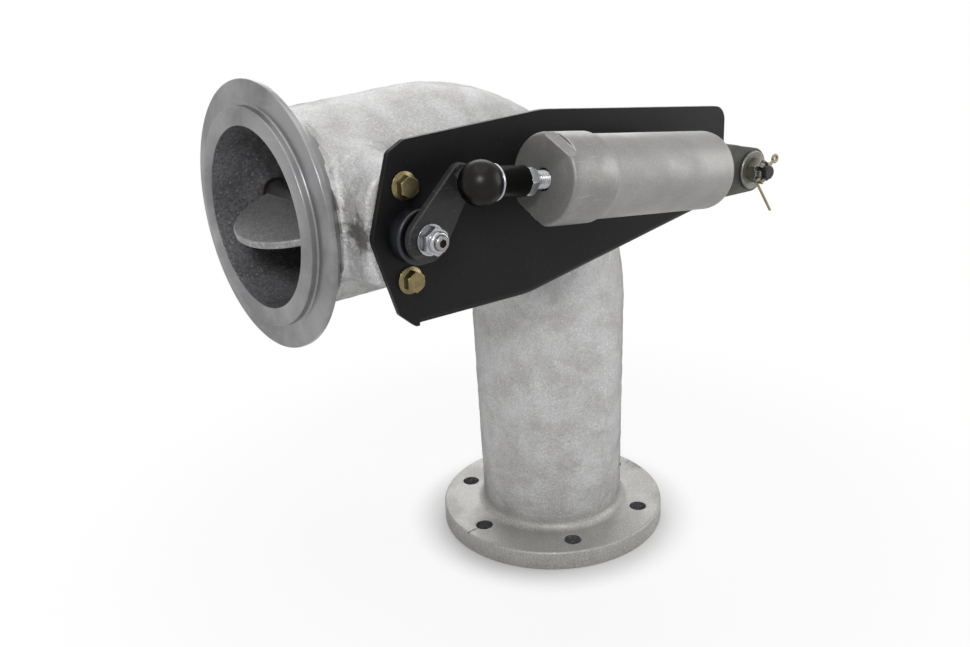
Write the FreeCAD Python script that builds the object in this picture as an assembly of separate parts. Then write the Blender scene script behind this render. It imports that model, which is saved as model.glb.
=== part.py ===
"""Exhaust brake valve: a cast elbow with a butterfly disc, worked by a small air cylinder.

Millimetres, +Z up. The origin is the centre of the outlet flange's lower face. The outlet pipe
rises along +Z and bends to the inlet, which faces -X. The bracket and the air cylinder are on
the -Y side. The valve is drawn open, with the cylinder's rod drawn in.
"""
import FreeCAD
import Part
import math
import os

V = FreeCAD.Vector

# Duct and its two ends
inlet_height = 267.0
inlet_face_x = -212.0
bend_radius = 88.0
inlet_bore_r = 50.0
outlet_bore_r = 45.0
inlet_pipe_r = 55.5
bend_end_r = 52.6
outlet_pipe_r = 49.8
bend_sections = 7
pilot_r = 60.3
pilot_length = 4.5
clamp_flange_r = 74.0
clamp_rim = 3.3
clamp_cone_length = 12.0
clamp_neck_r = 60.0
clamp_neck_length = 7.0
outlet_flange_r = 80.0
outlet_flange_thickness = 13.5
outlet_foot_r = 53.5
outlet_foot_height = 5.0
flange_hole_r = 6.0
flange_hole_circle_r = 65.0
flange_hole_count = 6
cast_edge = 1.2
machined_edge = 0.5

# Butterfly shaft, its bosses and bushes
shaft_x = -171.0
shaft_r = 7.0
shaft_neck_r = 6.0
bush_wall = 3.0
running = 0.05
wall_passage_clearance = 0.4
bush_setback = 2.5
boss_half_width = 22.0
boss_half_height = 35.0
boss_draft = 8.0
boss_root_depth = 35.0
plate_seat = 85.0
rear_boss_r = 19.0
rear_boss_root_r = 23.0
rear_boss_face = 79.0
plug_r = 12.0
plug_length = 8.0
plug_socket = 10.0
plug_socket_depth = 5.0
shaft_end_gap = 1.5

# Butterfly disc
disc_clearance = 0.6
disc_thickness = 4.0
open_tilt_deg = 14.0
disc_screw_r = 2.5
disc_screw_head_r = 4.6
disc_screw_head = 2.4
disc_screw_spread = 22.0
disc_screw_cover = 2.0
disc_screw_recess = 0.5

# Bracket plate, measured from the shaft's axis
plate_thickness = 3.0
plate_left = -22.0
plate_corner_x = -9.0
plate_corner_z = 42.0
plate_shoulder_x = 1.0
plate_shoulder_z = 47.0
plate_kink_x = 92.0
plate_kink_z = 49.5
plate_tail_x = 246.0
plate_tail_top = 31.0
plate_tail_bottom = -28.5
plate_low_shoulder_x = 0.5
plate_low_shoulder_z = -50.5
plate_low_kink_x = 80.0
plate_low_kink_z = -53.0
plate_corner_r = 10.0
plate_small_r = 4.0
plate_kink_r = 60.0
fold_r = 5.0
fold_depth = 15.0
fold_start_x = 3.0
fold_end_x = 238.0
bracket_bolt_spacing = 49.0
bracket_bolt_x = -1.4

# Metric fasteners: thread radius, spanner size, heights
m8_r = 4.0
m8_flats = 13.0
m8_head = 5.3
m8_hole_r = 4.5
flange_bolt_r = 3.0
flange_bolt_hole_r = 3.3
flange_bolt_flats = 10.0
flange_bolt_head = 6.2
flange_bolt_flange_r = 7.3
flange_bolt_flange = 1.8
flange_bolt_length = 20.0
washer_thickness = 1.6
washer_r = 8.0
wide_washer_r = 11.5
hex_relief_deg = 30.0

# Gland collar, lever and the nut on the shaft's end
collar_r = 14.5
collar_length = 11.8
collar_foot_r = 13.2
collar_foot = 3.3
collar_spigot_r = 12.0
collar_bore_r = 10.0
collar_lip = 1.5
collar_lip_clearance = 1.0
seal_length = 7.0
lever_gap = 1.3
lever_thickness = 4.3
lever_boss_r = 12.0
lever_eye_r = 7.8
lever_radius = 34.4
lever_rest_deg = 49.8
lever_flats = 8.0
lever_seat_r = 5.0
shaft_nut_hex = 5.5
shaft_nut_height = 8.0
shaft_nut_collar_r = 5.6
shaft_thread_show = 1.8
shaft_socket = 4.0
shaft_socket_depth = 5.0

# Ball joint
ball_reach = 14.6
ball_r = 8.0
ball_clearance = 0.1
socket_r = 11.5
socket_mouth_r = 6.8
socket_back = 9.2
socket_shoulder = 7.0
socket_shank_r = 8.0
socket_shank_end = 32.0
socket_thread_start = 14.0
clip_wire_r = 0.7
stud_hex = 11.0
stud_hex_height = 3.2
stud_neck_r = 4.0
stud_lever_gap = 0.3
stud_head_r = 5.5
stud_head = 1.6

# Piston rod and its lock nut, measured from the ball's centre along the rod
rod_r = 5.0
lock_nut_flats = 16.0
lock_nut_height = 5.5
cap_face = 44.0
piston_rest_gap = 6.0

# Air cylinder
pivot_from_shaft = 222.5
pivot_behind_cylinder = 31.0
barrel_r = 22.5
barrel_bore_r = 17.5
barrel_rear_wall = 8.0
barrel_rear_r = 7.0
barrel_spigot_r = 21.0
cap_r = 24.0
cap_wall = 10.0
cap_length = 24.0
cap_chamfer = 5.0
cap_flats = 41.0
cap_flats_depth = 9.0
cap_flats_deg = 40.0
cap_edge = 0.8
guide_bush_r = 8.0
guide_bush_length = 7.0
rod_seal_length = 2.4
cap_seal_wire = 1.2
piston_r = 17.3
piston_length = 11.0
cup_r = 17.45
cup_length = 3.0
cup_wall = 2.0
piston_nut_flats = 13.0
piston_nut_height = 5.0
port_r = 4.5
port_from_rear = 13.0
vent_r = 1.5
spring_wire_r = 1.3
spring_r = 14.0
spring_turn_count = 6
spring_section_count = 8
spring_end_gap = 0.3

# Rear fork and its pivot bolt
fork_wall = 3.0
fork_inner = 10.0
fork_root_half = 16.0
fork_end_r = 13.0
fork_screw_r = 3.0
fork_screw_head_r = 4.6
fork_screw_head = 4.0
fork_screw_socket = 4.0
fork_screw_depth = 6.0
side_gap = 0.2
sleeve_r = 7.0
castle_hex = 6.0
castle_height = 9.0
castle_crown_r = 5.9
castle_slot = 2.6
castle_slots = 3
pivot_thread_show = 2.6
cotter_r = 1.0
cotter_hole_r = 1.15
cotter_eye_r = 2.0
cotter_deg = 34.0
cotter_exit = 8.6
cotter_eye_reach = 9.5
cotter_leg = 19.0
cotter_leg_deg = -66.0
cotter_short_leg = 4.0
cotter_leg_lift = 0.25

# Worked out from the sizes above
plate_face = plate_seat + plate_thickness
collar_face = plate_face + collar_length
lever_back = collar_face + lever_gap
lever_face = lever_back + lever_thickness
link_plane = lever_face + ball_reach
ball_x = lever_radius * math.cos(math.radians(lever_rest_deg))
ball_z = lever_radius * math.sin(math.radians(lever_rest_deg))
link_length = math.hypot(pivot_from_shaft - ball_x, ball_z)
cylinder_rear = link_length - pivot_behind_cylinder
piston_face = cylinder_rear - barrel_rear_wall - piston_rest_gap - piston_nut_height - piston_length
disc_r = inlet_bore_r - disc_clearance
clamp_face_x = inlet_face_x + pilot_length
bush_outer_r = shaft_r + running + bush_wall
bush_inner_end = inlet_bore_r + bush_setback
shaft_rear_end = rear_boss_face - plug_length - shaft_end_gap

# Local frame of the shaft: X stays X, local Y is up, local Z points out towards -Y
shaft_frame = FreeCAD.Placement(
    V(shaft_x, 0, inlet_height), FreeCAD.Rotation(V(1, 0, 0), V(0, 0, 1), V(0, -1, 0), "ZXY"))

# Local frame of the rod: origin in the ball, local Z runs to the pivot, local X is up
rod_direction = V((pivot_from_shaft - ball_x) / link_length, 0, -ball_z / link_length)
rod_up = V(ball_z / link_length, 0, (pivot_from_shaft - ball_x) / link_length)
ball_centre = V(shaft_x + ball_x, -link_plane, inlet_height + ball_z)
rod_frame = FreeCAD.Placement(
    ball_centre, FreeCAD.Rotation(rod_up, V(0, -1, 0), rod_direction, "ZXY"))

# Local frame of the tilted disc: origin on the shaft's axis, local Z square to the disc
tilt = math.radians(open_tilt_deg)
disc_frame = FreeCAD.Placement(
    V(shaft_x, 0, inlet_height),
    FreeCAD.Rotation(V(math.cos(tilt), 0, math.sin(tilt)), V(0, 1, 0),
                     V(-math.sin(tilt), 0, math.cos(tilt)), "ZXY"))


def placed(shape, frame):
    """Return a copy of the shape moved into a local frame."""
    moved = shape.copy()
    moved.Placement = frame.multiply(moved.Placement)
    return moved


def rounded_wire(corners):
    """Return a closed wire through (point, radius) corners.

    A corner is rounded, or bevelled where its radius is only that of a machined edge.
    """
    starts, ends, arcs = [], [], []
    count = len(corners)
    for index, (point, radius) in enumerate(corners):
        before = (corners[index - 1][0] - point).normalize()
        after = (corners[(index + 1) % count][0] - point).normalize()
        if radius <= 0:
            starts.append(point)
            ends.append(point)
            arcs.append(None)
            continue
        half = before.getAngle(after) / 2
        reach = radius / math.tan(half)
        middle = (before + after).normalize()
        start, end = point + before * reach, point + after * reach
        crown = point + middle * (radius / math.sin(half) - radius)
        starts.append(start)
        ends.append(end)
        if radius <= machined_edge:
            arcs.append(Part.makeLine(start, end))
        else:
            arcs.append(Part.Arc(start, crown, end).toShape())
    edges = []
    for index in range(count):
        if arcs[index]:
            edges.append(arcs[index])
        edges.append(Part.makeLine(ends[index], starts[(index + 1) % count]))
    return Part.Wire(edges)


def turned(points):
    """Return the solid of revolution about Z of (radius, height[, corner radius]) points."""
    corners = [(V(p[0], 0, p[1]), p[2] if len(p) > 2 else 0.0) for p in points]
    return Part.Face(rounded_wire(corners)).revolve(V(0, 0, 0), V(0, 0, 1), 360)


def ring(outer, inner, low, high):
    """Return a plain ring about Z."""
    return turned([(inner, low), (outer, low), (outer, high), (inner, high)])


def cylinder(radius, low, high):
    """Return a plain cylinder about Z."""
    return Part.makeCylinder(radius, high - low, V(0, 0, low))


def drilled(radius, x, y, low, high):
    """Return a drill body parallel to Z at (x, y)."""
    return Part.makeCylinder(radius, high - low, V(x, y, low))


def prism(flats, low, high, sides=6):
    """Return a regular prism about Z with a flat towards +X."""
    corner = flats / 2 / math.cos(math.pi / sides)
    angles = [(index + 0.5) * 2 * math.pi / sides for index in range(sides)]
    points = [V(corner * math.cos(a), corner * math.sin(a), low) for a in angles]
    return Part.Face(Part.makePolygon(points + points[:1])).extrude(V(0, 0, high - low))


def hexagon(flats, low, high, relieve_low=False):
    """Return a hexagon about Z with its corners turned away at the top, or at both ends."""
    corner = flats / 2 / math.cos(math.pi / 6)
    drop = (corner - flats / 2) * math.tan(math.radians(hex_relief_deg))
    below = [(0, low), (flats / 2, low), (corner, low + drop)] if relieve_low else [
        (0, low), (corner, low)]
    return prism(flats, low, high).common(
        turned(below + [(corner, high - drop), (flats / 2, high), (0, high)]))


def along_x(points):
    """Return the solid of revolution about the inlet's axis of (x, radius) points."""
    corners = [(V(p[0], 0, inlet_height + p[1]), p[2] if len(p) > 2 else 0.0) for p in points]
    return Part.Face(rounded_wire(corners)).revolve(V(0, 0, inlet_height), V(1, 0, 0), 360)


def bend(start_r, end_r):
    """Return the quarter bend between the two pipes, with its radius changing along it."""
    centre = V(-bend_radius, 0, inlet_height - bend_radius)
    sections = []
    for index in range(bend_sections):
        share = index / (bend_sections - 1)
        angle = math.pi / 2 * (1 - share)
        middle = centre + V(math.cos(angle), 0, math.sin(angle)) * bend_radius
        heading = V(math.sin(angle), 0, -math.cos(angle))
        radius = start_r + (end_r - start_r) * share
        sections.append(Part.Wire(Part.makeCircle(radius, middle, heading)))
    return Part.makeLoft(sections, True, False)


def duct(inlet_r, middle_r, outlet_r, low, left):
    """Return the duct as a solid: straight inlet, bend and slightly tapered outlet pipe."""
    straight = along_x([(left, 0), (left, inlet_r), (-bend_radius, inlet_r), (-bend_radius, 0)])
    top = inlet_height - bend_radius
    fall = turned([(0, low), (outlet_r, low), (middle_r, top), (0, top)])
    return straight.fuse([bend(inlet_r, middle_r), fall])


def slot_outline(half_width, half_height, height):
    """Return an upright slot-shaped wire at a height of the shaft's frame."""
    straight = half_height - half_width
    upper = Part.Arc(V(half_width, straight, height), V(0, half_height, height),
                     V(-half_width, straight, height)).toShape()
    lower = Part.Arc(V(-half_width, -straight, height), V(0, -half_height, height),
                     V(half_width, -straight, height)).toShape()
    left = Part.makeLine(V(-half_width, straight, height), V(-half_width, -straight, height))
    right = Part.makeLine(V(half_width, -straight, height), V(half_width, straight, height))
    return Part.Wire([upper, left, lower, right])


def valve_body():
    """Return the cast elbow with its flanges, bosses and drilled holes."""
    cone_end_x = clamp_face_x + clamp_rim + clamp_cone_length
    clamp = along_x([
        (inlet_face_x, 0), (inlet_face_x, pilot_r, machined_edge), (clamp_face_x, pilot_r),
        (clamp_face_x, clamp_flange_r, machined_edge),
        (clamp_face_x + clamp_rim, clamp_flange_r, machined_edge),
        (cone_end_x, clamp_neck_r, cast_edge), (cone_end_x + clamp_neck_length, inlet_pipe_r),
        (cone_end_x + clamp_neck_length, 0)])
    foot = turned([
        (0, 0), (outlet_flange_r, 0, cast_edge),
        (outlet_flange_r, outlet_flange_thickness, cast_edge),
        (outlet_foot_r, outlet_flange_thickness, cast_edge),
        (outlet_pipe_r, outlet_flange_thickness + outlet_foot_height),
        (0, outlet_flange_thickness + outlet_foot_height)])
    front_boss = placed(Part.makeLoft([
        slot_outline(boss_half_width + boss_draft, boss_half_height + boss_draft, boss_root_depth),
        slot_outline(boss_half_width, boss_half_height, plate_seat)], True, True), shaft_frame)
    rear_boss = placed(turned([
        (0, -boss_root_depth), (rear_boss_root_r, -boss_root_depth),
        (rear_boss_r, -rear_boss_face, cast_edge), (0, -rear_boss_face)]), shaft_frame)
    shell = duct(inlet_pipe_r, bend_end_r, outlet_pipe_r, outlet_flange_thickness / 2, clamp_face_x)
    shell = shell.fuse([clamp, foot, front_boss, rear_boss])
    hollow_start = inlet_face_x - pilot_length
    middle_bore_r = (inlet_bore_r + outlet_bore_r) / 2
    cuts = [duct(inlet_bore_r, middle_bore_r, outlet_bore_r, -pilot_length, hollow_start)]
    passage_r = shaft_r + wall_passage_clearance
    for side in (1, -1):
        near, far = sorted((side * bush_inner_end, side * (rear_boss_face + plate_seat)))
        cuts.append(placed(cylinder(bush_outer_r, near, far), shaft_frame))
    cuts.append(placed(cylinder(passage_r, -bush_inner_end, bush_inner_end), shaft_frame))
    cuts.append(placed(cylinder(plug_r, -rear_boss_face * 2, plug_length - rear_boss_face),
                       shaft_frame))
    for side in (1, -1):
        cuts.append(placed(drilled(
            flange_bolt_r + running, bracket_bolt_x, side * bracket_bolt_spacing / 2,
            plate_seat - flange_bolt_length, plate_seat * 2), shaft_frame))
    for index in range(flange_hole_count):
        angle = 2 * math.pi * index / flange_hole_count
        cuts.append(drilled(flange_hole_r, flange_hole_circle_r * math.cos(angle),
                            flange_hole_circle_r * math.sin(angle),
                            -cast_edge, outlet_flange_thickness + cast_edge))
    return shell.cut(cuts)


def front_bush():
    """Return the bush in the boss on the lever's side."""
    return placed(ring(bush_outer_r, shaft_r + running, bush_inner_end, plate_seat), shaft_frame)


def rear_bush():
    """Return the bush in the boss at the shaft's blind end."""
    end = rear_boss_face - plug_length
    return placed(ring(bush_outer_r, shaft_r + running, -end, -bush_inner_end), shaft_frame)


def rear_boss_plug():
    """Return the screwed plug that closes the rear boss."""
    face = -rear_boss_face
    plug = turned([(0, face), (plug_r, face, machined_edge), (plug_r, face + plug_length),
                   (0, face + plug_length)])
    return placed(plug.cut(prism(plug_socket, face - 1, face + plug_socket_depth)), shaft_frame)


def valve_shaft():
    """Return the shaft, slotted for the disc, with the lever's flats and a threaded end."""
    tip = lever_face + washer_thickness + shaft_nut_height + shaft_thread_show
    body = turned([
        (0, -shaft_rear_end), (shaft_r, -shaft_rear_end, machined_edge),
        (shaft_r, plate_seat), (shaft_neck_r, plate_seat), (shaft_neck_r, lever_back),
        (lever_seat_r, lever_back), (lever_seat_r, lever_face), (m8_r - running, lever_face),
        (m8_r - running, tip, machined_edge), (0, tip)])
    for side in (1, -1):
        flat = Part.makeBox(lever_seat_r * 2, lever_seat_r, lever_thickness,
                            V(-lever_seat_r, 0, lever_back))
        flat.translate(V(0, side * (lever_flats + lever_seat_r) / 2 - lever_seat_r / 2, 0))
        turn = FreeCAD.Rotation(V(0, 0, 1), lever_rest_deg)
        body = body.cut(placed(flat, FreeCAD.Placement(V(0, 0, 0), turn)))
    body = body.cut(prism(shaft_socket, tip - shaft_socket_depth, tip + 1))
    body = placed(body, shaft_frame)
    slot = placed(Part.makeBox(shaft_r * 3, disc_r * 2, disc_thickness,
                               V(-shaft_r * 3 / 2, -disc_r, -disc_thickness / 2)), disc_frame)
    for side in (1, -1):
        body = body.cut(screw_body(side, running))
    return body.cut(slot)


def butterfly_disc():
    """Return the round disc that sits in the shaft's slot, open and slightly tilted."""
    half = disc_thickness / 2
    disc = turned([(0, -half), (disc_r, -half, machined_edge), (disc_r, half, machined_edge),
                   (0, half)])
    return placed(disc, disc_frame).cut([screw_body(side, running) for side in (1, -1)])


def screw_body(side, clearance):
    """Return one countersunk disc screw, or with a clearance the hole that it needs."""
    low = disc_screw_cover - shaft_r
    high = math.sqrt(shaft_r ** 2 - disc_screw_head_r ** 2) - disc_screw_recess
    stem_r, head_r = disc_screw_r + clearance, disc_screw_head_r + clearance
    top = shaft_r + 1 if clearance else high
    outline = [(0, low), (stem_r, low), (stem_r, high - disc_screw_head), (head_r, high)]
    if clearance:
        outline.append((head_r, top))
    body = turned(outline + [(0, top)])
    body.translate(V(0, side * disc_screw_spread, 0))
    return placed(body, disc_frame)


def disc_screws():
    """Return the two screws that hold the disc in the shaft."""
    return Part.makeCompound([screw_body(side, 0) for side in (1, -1)])


def shaft_collar():
    """Return the gland collar that passes through the plate and houses the shaft's seal."""
    collar = turned([
        (collar_bore_r, plate_seat), (collar_spigot_r, plate_seat), (collar_spigot_r, plate_face),
        (collar_foot_r, plate_face), (collar_foot_r, plate_face + collar_foot),
        (collar_r, plate_face + collar_foot + machined_edge), (collar_r, collar_face, cast_edge),
        (shaft_neck_r + collar_lip_clearance, collar_face),
        (shaft_neck_r + collar_lip_clearance, collar_face - collar_lip),
        (collar_bore_r, collar_face - collar_lip)])
    return placed(collar, shaft_frame)


def shaft_seal():
    """Return the packing ring inside the gland collar."""
    top = collar_face - collar_lip
    return placed(ring(collar_bore_r, shaft_neck_r + running, top - seal_length, top), shaft_frame)


def bracket_plate():
    """Return the pressed plate that carries the cylinder, with its lower edge folded back."""
    low_kink = plate_low_kink_z + fold_r
    tail_slope = (plate_tail_bottom - plate_low_kink_z) / (plate_tail_x - plate_low_kink_x)
    fold_start = V(fold_start_x, plate_low_shoulder_z + fold_r, 0)
    fold_kink = V(plate_low_kink_x, low_kink, 0)
    fold_end = V(fold_end_x, low_kink + tail_slope * (fold_end_x - plate_low_kink_x), 0)
    tail_low = plate_tail_bottom + fold_r
    outline = rounded_wire([
        (V(plate_left, 0, 0), plate_corner_r),
        (V(plate_corner_x, -plate_corner_z, 0), plate_small_r),
        (V(plate_low_shoulder_x, plate_low_shoulder_z, 0), fold_start_x - plate_low_shoulder_x),
        (V(fold_start_x, plate_low_shoulder_z, 0), 0), (fold_start, 0), (fold_kink, plate_kink_r),
        (fold_end, 0), (V(plate_tail_x, tail_low, 0), plate_small_r),
        (V(plate_tail_x, plate_tail_top, 0), plate_corner_r),
        (V(plate_kink_x, plate_kink_z, 0), plate_kink_r),
        (V(plate_shoulder_x, plate_shoulder_z, 0), plate_small_r),
        (V(plate_corner_x, plate_corner_z, 0), plate_small_r)])
    outline.translate(V(0, 0, plate_seat))
    panel = Part.Face(outline).extrude(V(0, 0, plate_thickness))
    path = Part.Wire(Part.Wire(rounded_wire([
        (fold_start, 0), (fold_kink, plate_kink_r), (fold_end, 0)])).Edges[:3])
    path.translate(V(0, 0, plate_face))
    along = (fold_kink - fold_start).normalize()
    down = V(along.y, -along.x, 0)
    back = V(0, 0, -1)
    corner = fold_start + V(0, 0, plate_face)
    centre = corner + back * fold_r
    inner_r = fold_r - plate_thickness
    slant = math.sqrt(0.5)
    outer_arc = Part.Arc(corner, centre + (down - back) * (fold_r * slant),
                         centre + down * fold_r).toShape()
    inner_arc = Part.Arc(centre + down * inner_r, centre + (down - back) * (inner_r * slant),
                         centre - back * inner_r).toShape()
    outer_tip = corner + down * fold_r + back * fold_depth
    inner_tip = corner + down * inner_r + back * fold_depth
    section = Part.Wire([
        outer_arc, Part.makeLine(centre + down * fold_r, outer_tip),
        Part.makeLine(outer_tip, inner_tip), Part.makeLine(inner_tip, centre + down * inner_r),
        inner_arc, Part.makeLine(centre - back * inner_r, corner)])
    fold = path.makePipeShell([section], True, False)
    plate = panel.fuse(fold)
    top = plate_face + 1
    cuts = [cylinder(collar_spigot_r + running, plate_seat - 1, top),
            drilled(m8_hole_r, pivot_from_shaft, 0, plate_seat - 1, top)]
    for side in (1, -1):
        cuts.append(drilled(flange_bolt_hole_r, bracket_bolt_x, side * bracket_bolt_spacing / 2,
                            plate_seat - 1, top))
    return placed(plate.cut(cuts).removeSplitter(), shaft_frame)


def bracket_bolts():
    """Return the two flange bolts that clamp the plate to the casting."""
    seat = plate_face
    bolt = hexagon(flange_bolt_flats, seat + flange_bolt_flange, seat + flange_bolt_head).fuse([
        turned([(0, seat), (flange_bolt_flange_r, seat, machined_edge),
                (flange_bolt_flange_r, seat + flange_bolt_flange / 2),
                (flange_bolt_flats / 2, seat + flange_bolt_flange),
                (0, seat + flange_bolt_flange)]),
        cylinder(flange_bolt_r, plate_seat - flange_bolt_length + plate_thickness, seat)])
    bolts = []
    for side in (1, -1):
        copy = bolt.copy()
        copy.translate(V(bracket_bolt_x, side * bracket_bolt_spacing / 2, 0))
        bolts.append(placed(copy, shaft_frame))
    return Part.makeCompound(bolts)


def lever():
    """Return the flat lever between the shaft and the ball stud."""
    spread = math.acos((lever_boss_r - lever_eye_r) / lever_radius)
    points = {}
    for name, radius, offset in (("boss", lever_boss_r, 0), ("eye", lever_eye_r, lever_radius)):
        for side in (1, -1):
            points[name, side] = V(offset + radius * math.cos(spread),
                                   side * radius * math.sin(spread), 0)
    outline = Part.Wire([
        Part.Arc(points["boss", 1], V(-lever_boss_r, 0, 0), points["boss", -1]).toShape(),
        Part.makeLine(points["boss", -1], points["eye", -1]),
        Part.Arc(points["eye", -1], V(lever_radius + lever_eye_r, 0, 0),
                 points["eye", 1]).toShape(),
        Part.makeLine(points["eye", 1], points["boss", 1])])
    blank = Part.Face(outline).extrude(V(0, 0, lever_thickness))
    blank = blank.makeChamfer(machined_edge, [edge for edge in blank.Edges
                                              if abs(edge.BoundBox.ZLength) < machined_edge])
    seat = cylinder(lever_seat_r + running, -1, lever_thickness + 1).common(
        Part.makeBox(lever_seat_r * 4, lever_flats + 2 * running, lever_thickness * 3,
                     V(-lever_seat_r * 2, -lever_flats / 2 - running, -lever_thickness)))
    eye = drilled(stud_neck_r + running, lever_radius, 0, -1, lever_thickness + 1)
    blank = blank.cut([seat, eye])
    turn = FreeCAD.Rotation(V(0, 0, 1), lever_rest_deg)
    return placed(placed(blank, FreeCAD.Placement(V(0, 0, lever_back), turn)), shaft_frame)


def shaft_washer():
    """Return the washer under the shaft's nut."""
    return placed(ring(washer_r, m8_r + running, lever_face, lever_face + washer_thickness),
                  shaft_frame)


def shaft_nut():
    """Return the self-locking nut on the shaft's end."""
    low = lever_face + washer_thickness
    collar = turned([(0, low), (shaft_nut_collar_r, low),
                     (shaft_nut_collar_r, low + shaft_nut_height, cast_edge),
                     (0, low + shaft_nut_height)])
    nut = hexagon(m8_flats, low, low + shaft_nut_hex, True).fuse(collar)
    return placed(nut.cut(cylinder(m8_r + running, low - 1, low + shaft_nut_height + 1)),
                  shaft_frame)


def stud_shank():
    """Return the ball stud's shank in the lever, peened over behind it."""
    shank = turned([
        (0, lever_face), (stud_neck_r, lever_face), (stud_neck_r, lever_back),
        (stud_head_r, lever_back), (stud_head_r * 0.8, lever_back - stud_head),
        (0, lever_back - stud_head)])
    shank.translate(V(ball_x, ball_z, 0))
    return placed(shank, shaft_frame)


def ball_stud():
    """Return the ball with its neck and hexagon, face to face with the lever."""
    seat = lever_face + stud_lever_gap
    stud = hexagon(stud_hex, seat, seat + stud_hex_height).fuse([
        cylinder(stud_neck_r, seat, link_plane), Part.makeSphere(ball_r, V(0, 0, link_plane))])
    stud.translate(V(ball_x, ball_z, 0))
    return placed(stud, shaft_frame)


def ball_socket():
    """Return the socket: a ball-shaped housing with a threaded shank along the rod."""
    shoulder_r = math.sqrt(socket_r ** 2 - socket_shoulder ** 2)
    housing = Part.makeSphere(socket_r).cut([
        Part.makeBox(socket_r * 2, socket_r * 2, socket_r * 2,
                     V(-socket_r, -socket_back - socket_r * 2, -socket_r)),
        Part.makeBox(socket_r * 2, socket_r * 2, socket_r * 2,
                     V(-socket_r, -socket_r, socket_shoulder))])
    shank = turned([(0, 0), (shoulder_r, socket_shoulder / 2), (shoulder_r, socket_shoulder),
                    (socket_shank_r, socket_shoulder),
                    (socket_shank_r, socket_shank_end, machined_edge), (0, socket_shank_end)])
    mouth = Part.makeCylinder(socket_mouth_r, socket_r, V(0, 0, 0), V(0, -1, 0))
    body = housing.fuse(shank).cut([
        Part.makeSphere(ball_r + ball_clearance), mouth,
        cylinder(rod_r + running, socket_thread_start, socket_shank_end + 1)])
    return placed(body, rod_frame)


def socket_clip():
    """Return the wire clip round the socket's shoulder."""
    wire = Part.makeTorus(socket_shank_r + clip_wire_r + running, clip_wire_r,
                          V(0, 0, socket_shoulder + clip_wire_r + running))
    return placed(wire, rod_frame)


def piston_rod():
    """Return the rod, from the socket's thread to the piston's spigot."""
    end = piston_face + piston_length + piston_nut_height + machined_edge
    rod = turned([(0, socket_thread_start), (rod_r, socket_thread_start, machined_edge),
                  (rod_r, piston_face), (m8_r, piston_face), (m8_r, end, machined_edge),
                  (0, end)])
    return placed(rod, rod_frame)


def rod_lock_nut():
    """Return the thin nut that locks the rod in the socket."""
    low, high = socket_shank_end, socket_shank_end + lock_nut_height
    nut = hexagon(lock_nut_flats, low, high, True).cut(cylinder(rod_r + running, low - 1, high + 1))
    return placed(nut, rod_frame)


def piston():
    """Return the piston with its groove for the cup."""
    low, high = piston_face, piston_face + piston_length
    groove_low = high - cup_length - cup_wall
    body = turned([
        (m8_r + running, low), (piston_r, low, machined_edge), (piston_r, groove_low),
        (piston_r - cup_wall, groove_low), (piston_r - cup_wall, groove_low + cup_length),
        (piston_r, groove_low + cup_length), (piston_r, high, machined_edge),
        (m8_r + running, high)])
    return placed(body, rod_frame)


def piston_cup():
    """Return the rubber cup in the piston's groove."""
    low = piston_face + piston_length - cup_length - cup_wall
    return placed(ring(cup_r, piston_r - cup_wall + running, low, low + cup_length), rod_frame)


def piston_nut():
    """Return the nut that holds the piston on the rod."""
    low = piston_face + piston_length
    nut = hexagon(piston_nut_flats, low, low + piston_nut_height, True)
    return placed(nut.cut(cylinder(m8_r + running, low - 1, low + piston_nut_height + 1)),
                  rod_frame)


def return_spring():
    """Return the spring that draws the rod in, between the cap and the piston."""
    low = cap_face + cap_wall + spring_wire_r + spring_end_gap
    high = piston_face - spring_wire_r - spring_end_gap
    count = spring_turn_count * spring_section_count
    slope = (high - low) / (2 * math.pi * spring_r * spring_turn_count)
    sections = []
    for index in range(count + 1):
        angle = 2 * math.pi * index / spring_section_count
        centre = V(spring_r * math.cos(angle), spring_r * math.sin(angle),
                   low + (high - low) * index / count)
        heading = V(-math.sin(angle), math.cos(angle), slope)
        sections.append(Part.Wire(Part.makeCircle(spring_wire_r, centre, heading)))
    return placed(Part.makeLoft(sections, True, False), rod_frame)


def front_cap():
    """Return the screwed cap, with two spanner flats on its front end."""
    skirt_end = cap_face + cap_length
    end = skirt_end + cap_chamfer
    cap = turned([
        (rod_r + cap_edge, cap_face), (cap_r, cap_face, cap_edge), (cap_r, skirt_end),
        (barrel_r, end), (barrel_spigot_r + running, end),
        (barrel_spigot_r + running, cap_face + cap_wall),
        (rod_r + cap_edge, cap_face + cap_wall)])
    cuts = [cylinder(guide_bush_r, cap_face + cap_wall - guide_bush_length, skirt_end)]
    for side in (1, -1):
        flat = Part.makeBox(cap_r, cap_r * 2, cap_flats_depth + 1,
                            V(cap_flats / 2 if side > 0 else -cap_flats / 2 - cap_r,
                              -cap_r, cap_face - 1))
        turn = FreeCAD.Rotation(V(0, 0, 1), cap_flats_deg)
        cuts.append(placed(flat, FreeCAD.Placement(V(0, 0, 0), turn)))
    return placed(cap.cut(cuts), rod_frame)


def rod_guide_bush():
    """Return the bush that guides the rod in the cap."""
    high = cap_face + cap_wall
    low = high - guide_bush_length + rod_seal_length
    return placed(ring(guide_bush_r, rod_r + running, low, high), rod_frame)


def rod_seal():
    """Return the seal in front of the guide bush."""
    low = cap_face + cap_wall - guide_bush_length
    return placed(ring(guide_bush_r, rod_r + running, low, low + rod_seal_length), rod_frame)


def cap_seal():
    """Return the flat seal between the barrel's end and the cap."""
    low = cap_face + cap_wall
    return placed(ring(barrel_spigot_r, barrel_bore_r, low, low + cap_seal_wire), rod_frame)


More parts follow.
